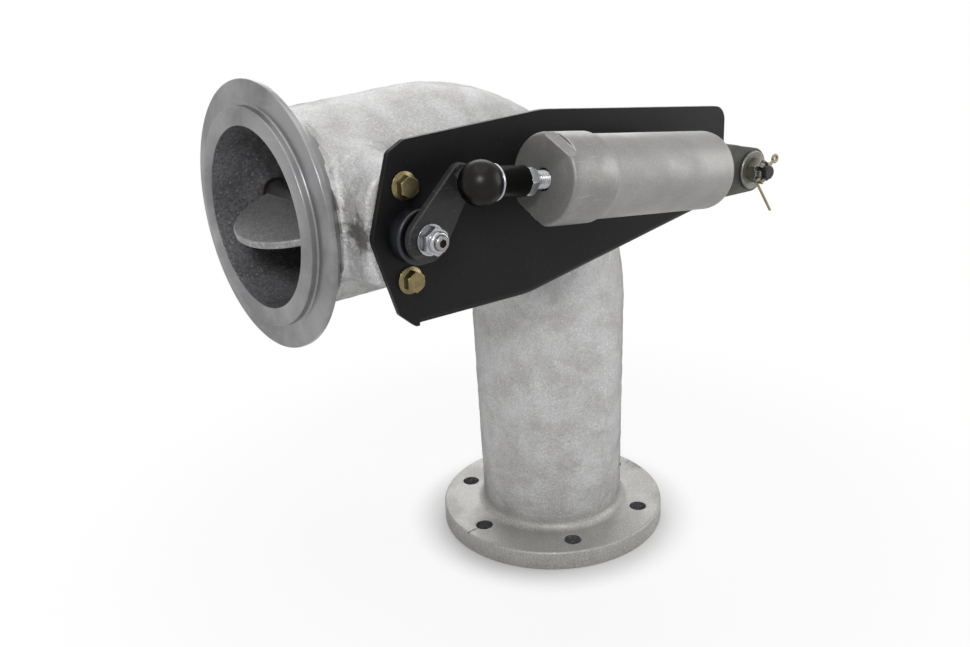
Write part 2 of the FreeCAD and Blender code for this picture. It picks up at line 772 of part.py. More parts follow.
def cylinder_barrel():
    """Return the barrel: bored from the front, closed and rounded at the rear."""
    front = cap_face + cap_wall + cap_seal_wire
    shoulder = cap_face + cap_length + cap_chamfer
    floor = cylinder_rear - barrel_rear_wall
    barrel = turned([
        (barrel_bore_r, front), (barrel_spigot_r, front), (barrel_spigot_r, shoulder),
        (barrel_r, shoulder), (barrel_r, cylinder_rear, barrel_rear_r), (0, cylinder_rear),
        (0, floor), (barrel_bore_r, floor)])
    port = Part.makeCylinder(port_r, barrel_r * 2, V(0, 0, cylinder_rear - port_from_rear),
                             V(-1, 0, 0))
    vent = Part.makeCylinder(vent_r, barrel_r * 2, V(0, 0, shoulder + barrel_rear_wall),
                             V(-1, 0, 0))
    tapped = cylinder(fork_screw_r + running, cylinder_rear - fork_screw_depth - running,
                      cylinder_rear + 1)
    return placed(barrel.cut([port, vent, tapped]), rod_frame)


def rear_fork():
    """Return the bent fork at the cylinder's rear, whose ears take the pivot bolt."""
    half = fork_inner / 2 + fork_wall
    reach = link_length - cylinder_rear
    spread = math.asin((fork_root_half - fork_end_r) / reach)
    tangent_s = link_length + fork_end_r * math.sin(spread)
    tangent_r = fork_end_r * math.cos(spread)
    outline = Part.Wire([
        Part.makeLine(V(-fork_root_half, -half, cylinder_rear),
                      V(fork_root_half, -half, cylinder_rear)),
        Part.makeLine(V(fork_root_half, -half, cylinder_rear), V(tangent_r, -half, tangent_s)),
        Part.Arc(V(tangent_r, -half, tangent_s), V(0, -half, link_length + fork_end_r),
                 V(-tangent_r, -half, tangent_s)).toShape(),
        Part.makeLine(V(-tangent_r, -half, tangent_s), V(-fork_root_half, -half, cylinder_rear))])
    block = Part.Face(outline).extrude(V(0, 2 * half, 0))
    gap = Part.makeBox(fork_root_half * 4, fork_inner, link_length,
                       V(-fork_root_half * 2, -fork_inner / 2, cylinder_rear + fork_wall))
    pin = Part.makeCylinder(m8_r + running, half * 4, V(0, -half * 2, link_length), V(0, 1, 0))
    screw = cylinder(fork_screw_r + running, cylinder_rear - 1, cylinder_rear + fork_wall + 1)
    fork = block.cut([gap, pin, screw])
    edges = [edge for edge in fork.Edges
             if edge.BoundBox.XLength > fork_root_half
             and abs(edge.BoundBox.ZMin - cylinder_rear) < running
             and edge.BoundBox.ZLength < running
             and abs(abs(edge.BoundBox.YMin) - half) < running]
    return placed(fork.makeFillet(fork_wall - machined_edge, edges), rod_frame)


def fork_screw():
    """Return the socket screw that holds the fork to the barrel."""
    seat = cylinder_rear + fork_wall
    screw = turned([
        (0, cylinder_rear - fork_screw_depth), (fork_screw_r, cylinder_rear - fork_screw_depth),
        (fork_screw_r, seat), (fork_screw_head_r, seat),
        (fork_screw_head_r, seat + fork_screw_head, machined_edge), (0, seat + fork_screw_head)])
    socket = prism(fork_screw_socket, seat + fork_screw_head / 2, seat + fork_screw_head + 1)
    return placed(screw.cut(socket), rod_frame)


def at_pivot(shape):
    """Return the shape moved from the shaft's axis to the pivot's axis."""
    moved = shape.copy()
    moved.translate(V(pivot_from_shaft, 0, 0))
    return placed(moved, shaft_frame)


fork_half = fork_inner / 2 + fork_wall
pivot_washer_low = link_plane + fork_half + side_gap
castle_low = pivot_washer_low + washer_thickness
pivot_tip = castle_low + castle_height + pivot_thread_show
cotter_height = castle_low + (castle_hex + castle_height) / 2
pivot_head_face = plate_seat - washer_thickness


def pivot_bolt():
    """Return the pivot bolt: head behind the plate, cross hole near its end."""
    bolt = hexagon(m8_flats, pivot_head_face - m8_head, pivot_head_face).fuse(
        turned([(0, pivot_head_face - machined_edge), (m8_r, pivot_head_face - machined_edge),
                (m8_r, pivot_tip, machined_edge), (0, pivot_tip)]))
    turn = FreeCAD.Rotation(V(0, 0, 1), cotter_deg)
    hole = Part.makeCylinder(cotter_hole_r, m8_flats, V(-m8_flats / 2, 0, cotter_height),
                             V(1, 0, 0))
    return at_pivot(bolt.cut(placed(hole, FreeCAD.Placement(V(0, 0, 0), turn))))


def pivot_back_washer():
    """Return the washer between the bolt's head and the plate."""
    return at_pivot(ring(washer_r, m8_r + running, pivot_head_face, plate_seat))


def pivot_spacer():
    """Return the tube that holds the fork off the plate."""
    return at_pivot(ring(washer_r, m8_r + running, plate_face, link_plane - fork_half - side_gap))


def fork_sleeve():
    """Return the sleeve between the fork's ears."""
    reach = fork_inner / 2 - side_gap
    return at_pivot(ring(sleeve_r, m8_r + running, link_plane - reach, link_plane + reach))


def pivot_washer():
    """Return the wide washer between the fork and the castle nut."""
    return at_pivot(turned([
        (m8_r + running, pivot_washer_low), (wide_washer_r, pivot_washer_low),
        (wide_washer_r, castle_low, machined_edge), (m8_r + running, castle_low)]))


def pivot_castle_nut():
    """Return the slotted nut on the pivot bolt."""
    high = castle_low + castle_height
    crown = turned([(0, castle_low), (castle_crown_r, castle_low),
                    (castle_crown_r, high, machined_edge), (0, high)])
    nut = hexagon(m8_flats, castle_low, castle_low + castle_hex, True).fuse(crown)
    cuts = [cylinder(m8_r + running, castle_low - 1, high + 1)]
    for index in range(castle_slots):
        slot = Part.makeBox(m8_flats * 2, castle_slot, castle_height,
                            V(-m8_flats, -castle_slot / 2, castle_low + castle_hex - machined_edge))
        turn = FreeCAD.Rotation(V(0, 0, 1), cotter_deg + index * 180 / castle_slots)
        cuts.append(placed(slot, FreeCAD.Placement(V(0, 0, 0), turn)))
    return at_pivot(nut.cut(cuts))


def rod_between(start, end, radius):
    """Return a round bar between two points, with a ball end at its far end."""
    bar = Part.makeCylinder(radius, (end - start).Length, start, end - start)
    return bar.fuse(Part.makeSphere(radius, end))


def cotter_pin():
    """Return the split pin: an eye, the stem through the bolt and two bent legs."""
    across = V(math.cos(math.radians(cotter_deg)), math.sin(math.radians(cotter_deg)), 0)
    level = V(0, 0, cotter_height)
    eye_end = level + across * cotter_eye_reach
    far_end = level - across * cotter_exit
    fall = math.radians(cotter_leg_deg)
    long_tip = far_end + V(math.cos(fall), math.sin(fall), cotter_leg_lift) * cotter_leg
    short_tip = far_end + V(0, 0, 1) * cotter_short_leg
    eye = Part.makeTorus(cotter_eye_r, cotter_r * 0.9, eye_end + across * cotter_eye_r, V(0, 0, 1))
    return at_pivot(rod_between(eye_end, far_end, cotter_r).fuse([
        rod_between(far_end, long_tip, cotter_r * 0.8),
        rod_between(far_end, short_tip, cotter_r * 0.8), eye]))


NODES = [
    valve_body, front_bush, rear_bush, rear_boss_plug, valve_shaft, butterfly_disc, disc_screws,
    shaft_collar, shaft_seal, bracket_plate, bracket_bolts, lever, shaft_washer, shaft_nut,
    stud_shank, ball_stud, ball_socket, socket_clip, piston_rod, rod_lock_nut, piston, piston_cup,
    piston_nut, return_spring, front_cap, rod_guide_bush, rod_seal, cap_seal, cylinder_barrel,
    rear_fork, fork_screw, pivot_bolt, pivot_back_washer, pivot_spacer, fork_sleeve, pivot_washer,
    pivot_castle_nut, cotter_pin]

os.makedirs("parts", exist_ok=True)
for make in NODES:
    shape = make()
    print(make.__name__, "valid", shape.isValid(), "solids", len(shape.Solids),
          "volume", round(shape.Volume), "box", [round(n, 2) for n in (
              shape.BoundBox.XMin, shape.BoundBox.YMin, shape.BoundBox.ZMin,
              shape.BoundBox.XMax, shape.BoundBox.YMax, shape.BoundBox.ZMax)])
    shape.exportStep("parts/%s.step" % make.__name__)
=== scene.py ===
"""The looks of an exhaust brake valve: cast elbow, flap, bracket, linkage and air cylinder.

Every class holds one sub-assembly with its sizes in millimetres, as fields. Meshes are drawn in
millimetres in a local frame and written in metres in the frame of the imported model.
"""
from __future__ import annotations

import logging
import math
from dataclasses import dataclass
from enum import Enum
from typing import Callable, Sequence

import bmesh
import bpy
import numpy as np
from mathutils import Matrix, Vector, noise

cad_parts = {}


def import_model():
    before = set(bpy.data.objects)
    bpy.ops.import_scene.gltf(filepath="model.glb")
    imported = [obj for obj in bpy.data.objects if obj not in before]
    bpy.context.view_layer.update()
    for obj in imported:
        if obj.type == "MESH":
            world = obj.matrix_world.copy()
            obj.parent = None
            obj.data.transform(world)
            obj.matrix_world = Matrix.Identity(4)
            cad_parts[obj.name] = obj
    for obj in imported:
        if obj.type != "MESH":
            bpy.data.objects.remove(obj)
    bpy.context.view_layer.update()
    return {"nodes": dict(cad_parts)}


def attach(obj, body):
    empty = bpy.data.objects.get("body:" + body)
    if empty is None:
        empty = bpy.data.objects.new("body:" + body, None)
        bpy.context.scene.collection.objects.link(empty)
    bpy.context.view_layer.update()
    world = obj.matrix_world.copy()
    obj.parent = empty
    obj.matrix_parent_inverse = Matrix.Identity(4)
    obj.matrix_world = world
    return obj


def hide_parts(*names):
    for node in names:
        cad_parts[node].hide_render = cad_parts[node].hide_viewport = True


LOG = logging.getLogger("exhaust_brake")
MM = 0.001

BLACK = (0.0, 0.0, 0.0)
WHITE = (1.0, 1.0, 1.0, 1.0)
AXIS_HEIGHT = 267.0
BLOTCH_ROUGHENING = 1.2
# Facing values over which the painted rim shade grows.
RIM_SHADE_LIMITS = (0.45, 1.0)
SAME_POINT = 0.0005
SAME_CAD_POINT = 0.00001

Triple = tuple[float, float, float]
Pair = tuple[float, float]
Profile = Sequence[tuple[float, ...]]
Mesh = bpy.types.Mesh
Socket = bpy.types.NodeSocket
Tree = bpy.types.NodeTree


@dataclass(frozen=True)
class Place:
    """A local frame: an origin in metres and two of its unit axes."""

    origin: Vector
    x: Vector
    z: Vector

    def matrix(self) -> Matrix:
        """Return the matrix from local millimetres to metres in the model's frame."""
        z = self.z.normalized()
        x = (self.x - z * self.x.dot(z)).normalized()
        columns = (x, z.cross(x), z)
        rows = [[c[i] * MM for c in columns] + [self.origin[i]] for i in range(3)]
        return Matrix(rows + [[0.0, 0.0, 0.0, 1.0]])

    def moved(self, x: float = 0.0, y: float = 0.0, z: float = 0.0) -> Place:
        """Return the same axes at another origin, given in local millimetres."""
        return Place(self.matrix() @ Vector((x, y, z)), self.x, self.z)


class Finish(Enum):
    """The names of the finishes, each made once as a material."""

    CASTING = "casting"
    SHADED_BORE = "rough_bore_shaded"
    MACHINED = "machined_flange"
    FLANGE = "outlet_flange"
    DISC = "disc"
    BLACK_PAINT = "black_paint"
    YELLOW_ZINC = "yellow_zinc"
    BRIGHT_ZINC = "bright_zinc"
    OLIVE_ZINC = "olive_zinc"
    DARK_STEEL = "dark_steel"
    PHOSPHATE = "phosphate"
    GUNMETAL = "gunmetal"
    BLACK_STEEL = "black_steel"
    ALUMINIUM = "aluminium"
    CAP = "cap_aluminium"
    FORK = "fork_steel"
    SHAFT = "shaft_steel"
    BRONZE = "bronze"
    RUBBER = "rubber"
    SPRING = "spring_steel"
    COTTER = "cotter_wire"


@dataclass(frozen=True)
class Patch:
    """A soft round area of another colour: a stain, soot, a rubbed spot, and also painted shade.

    The centre is in metres in the model's frame, the radius and softness in metres. The grain is
    how much coarser the surface is there.
    """

    centre: Triple
    radius: float
    softness: float
    colour: Triple
    strength: float
    roughness: float = 0.8
    grain: float = 0.0


@dataclass(frozen=True)
class Look:
    """How strongly each surface effect shows in one finish.

    Sizes, widths, pitches and bump heights are in millimetres. The other numbers are shares.
    """

    colour: Triple
    metallic: float
    roughness: float
    cloud_colour: Triple
    cloud: float = 0.5
    cloud_size: float = 4.0
    grain_size: float = 0.5
    grain_height: float = 0.01
    grain_shade: float = 0.1
    # Speckle: bright specks mixed into the colour; on the cast finishes they are painted glints
    # for the sparkle of the grain, elsewhere a speckled tone.
    speckle_and_glint: float = 0.0
    speckle_size: float = 1.2
    speckle_and_glint_colour: Triple = (0.9, 0.9, 0.9)
    # Edge band: bare rubbed edges, and partly a painted highlight along the edges.
    wear_and_highlight: float = 0.6
    edge_band_width: float = 0.5
    wear_and_highlight_colour: Triple = (0.8, 0.8, 0.8)
    edge_band_roughness: float = 0.3
    scratch: float = 0.0
    ring_height: float = 0.0
    ring_pitch: float = 0.5
    ring_centre: Triple = (0.0, 0.0, 0.0)
    ring_axis: Triple = (0.0, 0.0, 1.0)
    specular: float = 0.5
    # rim: painted shade; the colour darkens towards black at grazing angles and the specular tint
    # is dimmed, so silhouettes mirror less of the white surroundings.
    rim: float = 0.0
    anisotropic: float = 0.0
    patches: tuple[Patch, ...] = ()


LOOKS: dict[Finish, Look] = {
    Finish.CASTING: Look(
        colour=(0.68, 0.68, 0.68), metallic=0.4, roughness=0.34, cloud_colour=(0.45, 0.435, 0.42),
        cloud=0.55, cloud_size=24.0, grain_size=1.2, grain_height=0.9, grain_shade=0.26,
        speckle_and_glint=0.5, speckle_size=1.7, speckle_and_glint_colour=(0.97, 0.97, 0.97), wear_and_highlight=0.0, specular=0.3,
        rim=0.6,
        patches=(
            Patch((-0.194, -0.078, 0.270), 0.011, 0.006, (0.10, 0.095, 0.09), 0.85, 0.7, 0.9),
            Patch((-0.203, -0.060, 0.272), 0.012, 0.008, (0.62, 0.62, 0.62), 0.6, 0.4, 0.9),
            # Painted shade: these two grey patches darken bands on the duct's front that face the
            # camera.
            Patch((-0.040, -0.052, 0.205), 0.028, 0.022, (0.42, 0.42, 0.43), 0.5),
            Patch((0.030, -0.042, 0.060), 0.035, 0.03, (0.42, 0.42, 0.43), 0.5))),
    # Darker rough finish inside the duct and the bolt holes, partly painted shade in these
    # recesses.
    Finish.SHADED_BORE: Look(
        colour=(0.25, 0.25, 0.26), metallic=0.2, roughness=0.45, cloud_colour=(0.13, 0.13, 0.138),
        cloud=0.7, cloud_size=26.0, grain_size=1.8, grain_height=0.5, grain_shade=0.5, speckle_and_glint=0.5,
        speckle_size=2.0, speckle_and_glint_colour=(0.6, 0.6, 0.62), wear_and_highlight=0.0, specular=0.2, rim=0.3),
    Finish.MACHINED: Look(
        colour=(0.3, 0.3, 0.305), metallic=0.75, roughness=0.3, cloud_colour=(0.12, 0.12, 0.125),
        cloud=0.75, cloud_size=60.0, grain_shade=0.05, wear_and_highlight=0.9, edge_band_width=0.8,
        wear_and_highlight_colour=(0.85, 0.85, 0.87), edge_band_roughness=0.25, scratch=0.05, ring_height=0.02,
        ring_pitch=0.8, ring_centre=(0.0, 0.0, AXIS_HEIGHT * MM), ring_axis=(1.0, 0.0, 0.0),
        anisotropic=0.4),
    Finish.FLANGE: Look(
        colour=(0.52, 0.51, 0.49), metallic=0.35, roughness=0.42, cloud_colour=(0.38, 0.37, 0.35),
        cloud=0.45, cloud_size=24.0, grain_size=0.9, grain_height=0.3, grain_shade=0.4,
        speckle_and_glint=0.45, speckle_and_glint_colour=(0.9, 0.89, 0.87), wear_and_highlight=0.8, edge_band_width=1.0,
        wear_and_highlight_colour=(0.88, 0.88, 0.87), rim=0.2,
        patches=(
            Patch((0.078, -0.012, 0.008), 0.012, 0.010, (0.16, 0.14, 0.12), 0.7),
            Patch((0.052, -0.058, 0.004), 0.012, 0.010, (0.25, 0.22, 0.2), 0.5))),
    Finish.DISC: Look(
        colour=(0.42, 0.42, 0.42), metallic=0.5, roughness=0.45, cloud_colour=(0.26, 0.26, 0.265),
        cloud_size=14.0, grain_size=1.6, grain_height=0.45, grain_shade=0.4, speckle_and_glint=0.5,
        speckle_size=2.0, speckle_and_glint_colour=(0.75, 0.76, 0.78), wear_and_highlight=0.9, edge_band_width=1.0,
        wear_and_highlight_colour=(0.75, 0.75, 0.74), edge_band_roughness=0.35),
    Finish.BLACK_PAINT: Look(
        colour=(0.008, 0.008, 0.0085), metallic=0.0, roughness=0.4,
        cloud_colour=(0.013, 0.013, 0.0135), cloud_size=40.0, grain_size=1.4, grain_height=0.02,
        grain_shade=0.15, speckle_and_glint=0.02, speckle_size=3.0, speckle_and_glint_colour=(0.3, 0.3, 0.3),
        wear_and_highlight=0.35, edge_band_width=0.6, wear_and_highlight_colour=(0.14, 0.11, 0.09), edge_band_roughness=0.4,
        specular=0.14),
    Finish.YELLOW_ZINC: Look(
        colour=(0.24, 0.19, 0.085), metallic=0.9, roughness=0.3, cloud_colour=(0.13, 0.125, 0.08),
        cloud=0.7, grain_size=0.6, grain_height=0.02, edge_band_width=0.4,
        wear_and_highlight_colour=(0.62, 0.58, 0.36), edge_band_roughness=0.25),
    Finish.BRIGHT_ZINC: Look(
        colour=(0.42, 0.43, 0.45), metallic=1.0, roughness=0.25, cloud_colour=(0.3, 0.31, 0.33),
        cloud=0.4, grain_height=0.008, grain_shade=0.05, edge_band_width=0.3,
        wear_and_highlight_colour=(0.92, 0.92, 0.92), edge_band_roughness=0.15),
    Finish.OLIVE_ZINC: Look(
        colour=(0.22, 0.22, 0.19), metallic=0.8, roughness=0.38, cloud_colour=(0.14, 0.14, 0.12),
        cloud=0.6, grain_size=0.6, grain_height=0.02, grain_shade=0.15, wear_and_highlight=0.8, edge_band_width=0.4,
        wear_and_highlight_colour=(0.75, 0.75, 0.7), edge_band_roughness=0.25),
    Finish.DARK_STEEL: Look(
        colour=(0.045, 0.047, 0.055), metallic=0.9, roughness=0.3,
        cloud_colour=(0.035, 0.035, 0.04), cloud=0.4, cloud_size=8.0, edge_band_width=0.7,
        wear_and_highlight_colour=(0.3, 0.31, 0.34), edge_band_roughness=0.25),
    Finish.PHOSPHATE: Look(
        colour=(0.022, 0.022, 0.023), metallic=0.0, roughness=0.42,
        cloud_colour=(0.034, 0.034, 0.036), cloud_size=6.0, grain_size=0.6, grain_height=0.03,
        grain_shade=0.3, wear_and_highlight_colour=(0.28, 0.28, 0.29), scratch=0.1, specular=0.3),
    Finish.GUNMETAL: Look(
        colour=(0.024, 0.023, 0.022), metallic=1.0, roughness=0.3,
        cloud_colour=(0.016, 0.015, 0.014), cloud_size=7.0, grain_size=0.7, wear_and_highlight=0.35,
        edge_band_width=0.4, wear_and_highlight_colour=(0.35, 0.33, 0.29), edge_band_roughness=0.2, rim=0.25),
    Finish.BLACK_STEEL: Look(
        colour=(0.02, 0.02, 0.02), metallic=0.3, roughness=0.4, cloud_colour=(0.04, 0.038, 0.035),
        grain_height=0.02, grain_shade=0.2, edge_band_width=0.4, wear_and_highlight_colour=(0.22, 0.21, 0.19),
        edge_band_roughness=0.35, specular=0.3),
    Finish.ALUMINIUM: Look(
        colour=(0.36, 0.35, 0.34), metallic=0.35, roughness=0.45, cloud_colour=(0.29, 0.28, 0.27),
        cloud_size=26.0, grain_size=0.7, grain_height=0.04, grain_shade=0.2, speckle_and_glint=0.1,
        speckle_size=1.0, speckle_and_glint_colour=(0.65, 0.65, 0.65), wear_and_highlight=0.5, edge_band_width=0.6,
        wear_and_highlight_colour=(0.75, 0.74, 0.73)),
    Finish.CAP: Look(
        colour=(0.3, 0.295, 0.285), metallic=0.4, roughness=0.4, cloud_colour=(0.22, 0.22, 0.21),
        cloud_size=16.0, grain_size=0.6, grain_height=0.05, grain_shade=0.25, wear_and_highlight=1.0,
        edge_band_width=1.0, wear_and_highlight_colour=(0.95, 0.95, 0.94), edge_band_roughness=0.28, scratch=0.1),
    Finish.FORK: Look(
        colour=(0.085, 0.085, 0.075), metallic=0.6, roughness=0.5,
        cloud_colour=(0.06, 0.06, 0.055), cloud_size=9.0, grain_size=0.6, grain_height=0.03,
        grain_shade=0.2, wear_and_highlight=0.5, wear_and_highlight_colour=(0.35, 0.35, 0.33), edge_band_roughness=0.35),
    Finish.SHAFT: Look(
        colour=(0.3, 0.295, 0.29), metallic=1.0, roughness=0.35, cloud_colour=(0.2, 0.18, 0.16),
        cloud=0.4, cloud_size=8.0, edge_band_width=0.4, wear_and_highlight_colour=(0.65, 0.65, 0.65),
        edge_band_roughness=0.25),
    Finish.BRONZE: Look(
        colour=(0.5, 0.34, 0.17), metallic=1.0, roughness=0.4, cloud_colour=(0.35, 0.24, 0.13),
        cloud=0.4, cloud_size=6.0, grain_size=0.4, grain_height=0.02, wear_and_highlight=0.4, edge_band_width=0.3,
        wear_and_highlight_colour=(0.75, 0.6, 0.35)),
    Finish.RUBBER: Look(
        colour=(0.02, 0.02, 0.02), metallic=0.0, roughness=0.6, cloud_colour=(0.035, 0.035, 0.035),
        cloud=0.4, cloud_size=5.0, grain_size=0.4, grain_height=0.02, wear_and_highlight=0.0, specular=0.3),
    Finish.SPRING: Look(
        colour=(0.25, 0.25, 0.26), metallic=1.0, roughness=0.35, cloud_colour=(0.15, 0.14, 0.13),
        cloud=0.4, cloud_size=6.0, grain_size=0.4, wear_and_highlight=0.0),
    Finish.COTTER: Look(
        colour=(0.3, 0.26, 0.17), metallic=0.9, roughness=0.35, cloud_colour=(0.17, 0.15, 0.1),
        cloud=0.6, cloud_size=3.0, grain_size=0.4, wear_and_highlight=0.5, edge_band_width=0.2,
        wear_and_highlight_colour=(0.8, 0.72, 0.5), edge_band_roughness=0.25),
}


class Wiring:
    """Adds nodes to one node tree and links them by name."""

    def __init__(self, tree: Tree) -> None:
        """Start with an empty tree.

        Args:
            tree: The node tree to fill.
        """
        self.tree = tree
        tree.nodes.clear()

    def add(self, kind: str, inputs: dict[str | int, object] | None = None,
            **settings: object) -> bpy.types.Node:
        """Add one node.

        Args:
            kind: Its type, such as ShaderNodeMath.
            inputs: Input names or numbers, each with a value or the socket that feeds it.
            **settings: The node's own properties.

        Returns:
            The new node.
        """
        node = self.tree.nodes.new(kind)
        for name, value in settings.items():
            setattr(node, name, value)
        for name, value in (inputs or {}).items():
            socket = node.inputs[name]
            if isinstance(value, Socket):
                self.tree.links.new(value, socket)
            else:
                socket.default_value = value
        return node

    def math(self, operation: str, a: object, b: object = 0.0, clamp: bool = False) -> Socket:
        """Return the output of a Math node on one or two values or sockets."""
        return self.add("ShaderNodeMath", {0: a, 1: b}, operation=operation,
                        use_clamp=clamp).outputs[0]

    def vector(self, operation: str, a: object, b: object = (0.0, 0.0, 0.0),
               output: str = "Vector") -> Socket:
        """Return an output of a Vector Math node on one or two vectors or sockets."""
        return self.add("ShaderNodeVectorMath", {0: a, 1: b}, operation=operation).outputs[output]

    def mix(self, factor: object, a: object, b: object) -> Socket:
        """Return the colour mixed from a to b by factor; a colour without alpha is opaque."""
        a, b = ((*value, 1.0) if isinstance(value, tuple) else value for value in (a, b))
        return self.add("ShaderNodeMix", {0: factor, 6: a, 7: b}, data_type="RGBA").outputs[2]

    def ramp(self, value: object, low: float, high: float, to_low: float = 0.0,
             to_high: float = 1.0) -> Socket:
        """Return the value mapped smoothly and clamped between two limits."""
        return self.add("ShaderNodeMapRange", {
            "Value": value, "From Min": low, "From Max": high, "To Min": to_low,
            "To Max": to_high}, interpolation_type="SMOOTHSTEP").outputs["Result"]

    def times(self, a: object, b: object) -> Socket:
        """Return the product of two values or sockets."""
        return self.math("MULTIPLY", a, b)

    def blend(self, factor: object, a: object, b: object) -> Socket:
        """Return the number mixed from a to b by factor."""
        kept = self.times(a, self.math("SUBTRACT", 1.0, factor))
        return self.math("ADD", kept, self.times(factor, b))

    def noise(self, point: object, scale: object, detail: float, roughness: float = 0.5,
              distortion: float = 0.0) -> Socket:
        """Return a soft noise from 0 to 1 at a point."""
        return self.add("ShaderNodeTexNoise", {
            "Vector": point, "Scale": scale, "Detail": detail, "Roughness": roughness,
            "Distortion": distortion}).outputs["Fac"]


class Group(Wiring):
    """A shader node group with named sockets, and the surface point that it looks at."""

    def __init__(self, name: str, inputs: dict[str, float | Triple],
                 outputs: Sequence[str] = ("Mask",)) -> None:
        """Start the group.

        Args:
            name: The group's name.
            inputs: Each input's name with its default, a number or a vector.
            outputs: The names of the outputs: Normal is a vector, the others are numbers.
        """
        super().__init__(bpy.data.node_groups.new(name, "ShaderNodeTree"))
        for socket_name, default in inputs.items():
            kind = "NodeSocketFloat" if isinstance(default, float) else "NodeSocketVector"
            socket = self.tree.interface.new_socket(name=socket_name, in_out="INPUT",
                                                    socket_type=kind)
            socket.default_value = default
        for socket_name in outputs:
            kind = "NodeSocketVector" if socket_name == "Normal" else "NodeSocketFloat"
            self.tree.interface.new_socket(name=socket_name, in_out="OUTPUT", socket_type=kind)
        self.given = self.add("NodeGroupInput").outputs
        self.point = self.add("ShaderNodeTexCoord").outputs["Object"]

    def give(self, **results: Socket) -> Tree:
        """Feed the outputs and return the finished tree."""
        self.add("NodeGroupOutput", results)
        return self.tree


class Effects:
    """The node groups that the materials share, each built once."""

    def __init__(self) -> None:
        """Build every group."""
        self.cloud = self._cloud()
        self.grain = self._grain()
        self.speckle_and_glint = self._speckle_and_glint()
        self.wear_and_highlight = self._wear_and_highlight()
        self.scratch = self._scratch()
        self.rings = self._rings()
        self.patch = self._patch()

    @staticmethod
    def _cloud() -> Tree:
        """Return large soft blotches: Size in metres, Mask out."""
        w = Group("Cloud", {"Size": 0.03})
        scale = w.math("DIVIDE", 1.0, w.given["Size"])
        return w.give(Mask=w.ramp(w.noise(w.point, scale, 5.0, 0.6, 0.4), 0.36, 0.66))

    @staticmethod
    def _grain() -> Tree:
        """Return a sand-cast or shot-blasted grain: Size in metres, Height and Shade out."""
        w = Group("Grain", {"Size": 0.001}, ("Height", "Shade"))
        scale = w.math("DIVIDE", 1.0, w.given["Size"])
        fine = w.noise(w.point, scale, 3.0, 0.65)
        wide = w.noise(w.point, w.times(scale, 0.27), 2.0)
        height = w.math("ADD", w.times(fine, 0.6), w.times(wide, 0.4))
        return w.give(Height=height, Shade=w.ramp(fine, 0.3, 0.7))

    @staticmethod
    def _speckle_and_glint() -> Tree:
        """Return small bright glints: Size in metres, Mask out."""
        w = Group("Speckle", {"Size": 0.001})
        scale = w.math("DIVIDE", 1.0, w.given["Size"])
        cells = w.add("ShaderNodeTexVoronoi", {"Vector": w.point, "Scale": scale})
        near = w.ramp(cells.outputs["Distance"], 0.12, 0.34, 1.0, 0.0)
        chosen = w.add("ShaderNodeSeparateColor", {"Color": cells.outputs["Color"]})
        return w.give(Mask=w.times(near, w.ramp(chosen.outputs[0], 0.55, 0.8)))

    @staticmethod
    def _wear_and_highlight() -> Tree:
        """Return edges lightened both as wear and as a painted edge highlight: Width in metres,
        Mask and a softened Normal out.
        """
        w = Group("Edge wear", {"Width": 0.0005}, ("Mask", "Normal"))
        soft = w.add("ShaderNodeBevel", {"Radius": w.given["Width"]}, samples=6).outputs["Normal"]
        facing = w.add("ShaderNodeNewGeometry").outputs["Normal"]
        edge = w.ramp(w.vector("DOT_PRODUCT", soft, facing, "Value"), 0.75, 0.995, 1.0, 0.0)
        broken = w.ramp(w.noise(w.point, 260.0, 4.0, 0.7), 0.32, 0.6, 0.35, 1.0)
        return w.give(Mask=w.times(edge, broken), Normal=soft)

    @staticmethod
    def _scratch() -> Tree:
        """Return thin scratches in two directions: Mask out."""
        w = Group("Scratches", {})
        masks = []
        for turn, stretch in (((0.3, 0.5, 0.2), (900.0, 30.0, 400.0)),
                              ((1.1, 0.2, 0.9), (40.0, 800.0, 500.0))):
            placed = w.add("ShaderNodeMapping", {"Vector": w.point, "Rotation": turn,
                                                 "Scale": stretch})
            masks.append(w.ramp(w.noise(placed.outputs[0], 1.0, 1.0), 0.66, 0.76))
        return w.give(Mask=w.math("MAXIMUM", *masks))

    @staticmethod
    def _rings() -> Tree:
        """Return the fine rings that a lathe leaves: Centre, Axis and Pitch in, Height out."""
        w = Group("Turned rings", {"Centre": (0.0, 0.0, 0.0), "Axis": (0.0, 0.0, 1.0),
                                   "Pitch": 0.0005}, ("Height",))
        arm = w.vector("SUBTRACT", w.point, w.given["Centre"])
        along = w.vector("DOT_PRODUCT", arm, w.given["Axis"], "Value")
        part = w.add("ShaderNodeVectorMath", {0: w.given["Axis"], "Scale": along},
                     operation="SCALE").outputs["Vector"]
        radius = w.vector("LENGTH", w.vector("SUBTRACT", arm, part), output="Value")
        step = w.math("DIVIDE", w.math("ADD", radius, w.times(along, 0.7)),
                      w.given["Pitch"])
        rings = w.add("ShaderNodeTexNoise", {"W": step, "Scale": 1.0, "Detail": 3.0,
                                             "Roughness": 0.7}, noise_dimensions="1D")
        return w.give(Height=rings.outputs["Fac"])

    @staticmethod
    def _patch() -> Tree:
        """Return a ragged round patch: Centre, Radius and Softness in metres, Mask out."""
        w = Group("Patch", {"Centre": (0.0, 0.0, 0.0), "Radius": 0.01, "Softness": 0.005})
        away = w.vector("LENGTH", w.vector("SUBTRACT", w.point, w.given["Centre"]),
                        output="Value")
        ragged = w.math("SUBTRACT", w.noise(w.point, 140.0, 5.0, 0.7), 0.5)
        shift = w.times(ragged, w.times(w.given["Radius"], 2.2))
        near = w.math("SUBTRACT", w.given["Radius"], w.math("ADD", away, shift))
        return w.give(Mask=w.math("DIVIDE", near, w.given["Softness"], clamp=True))


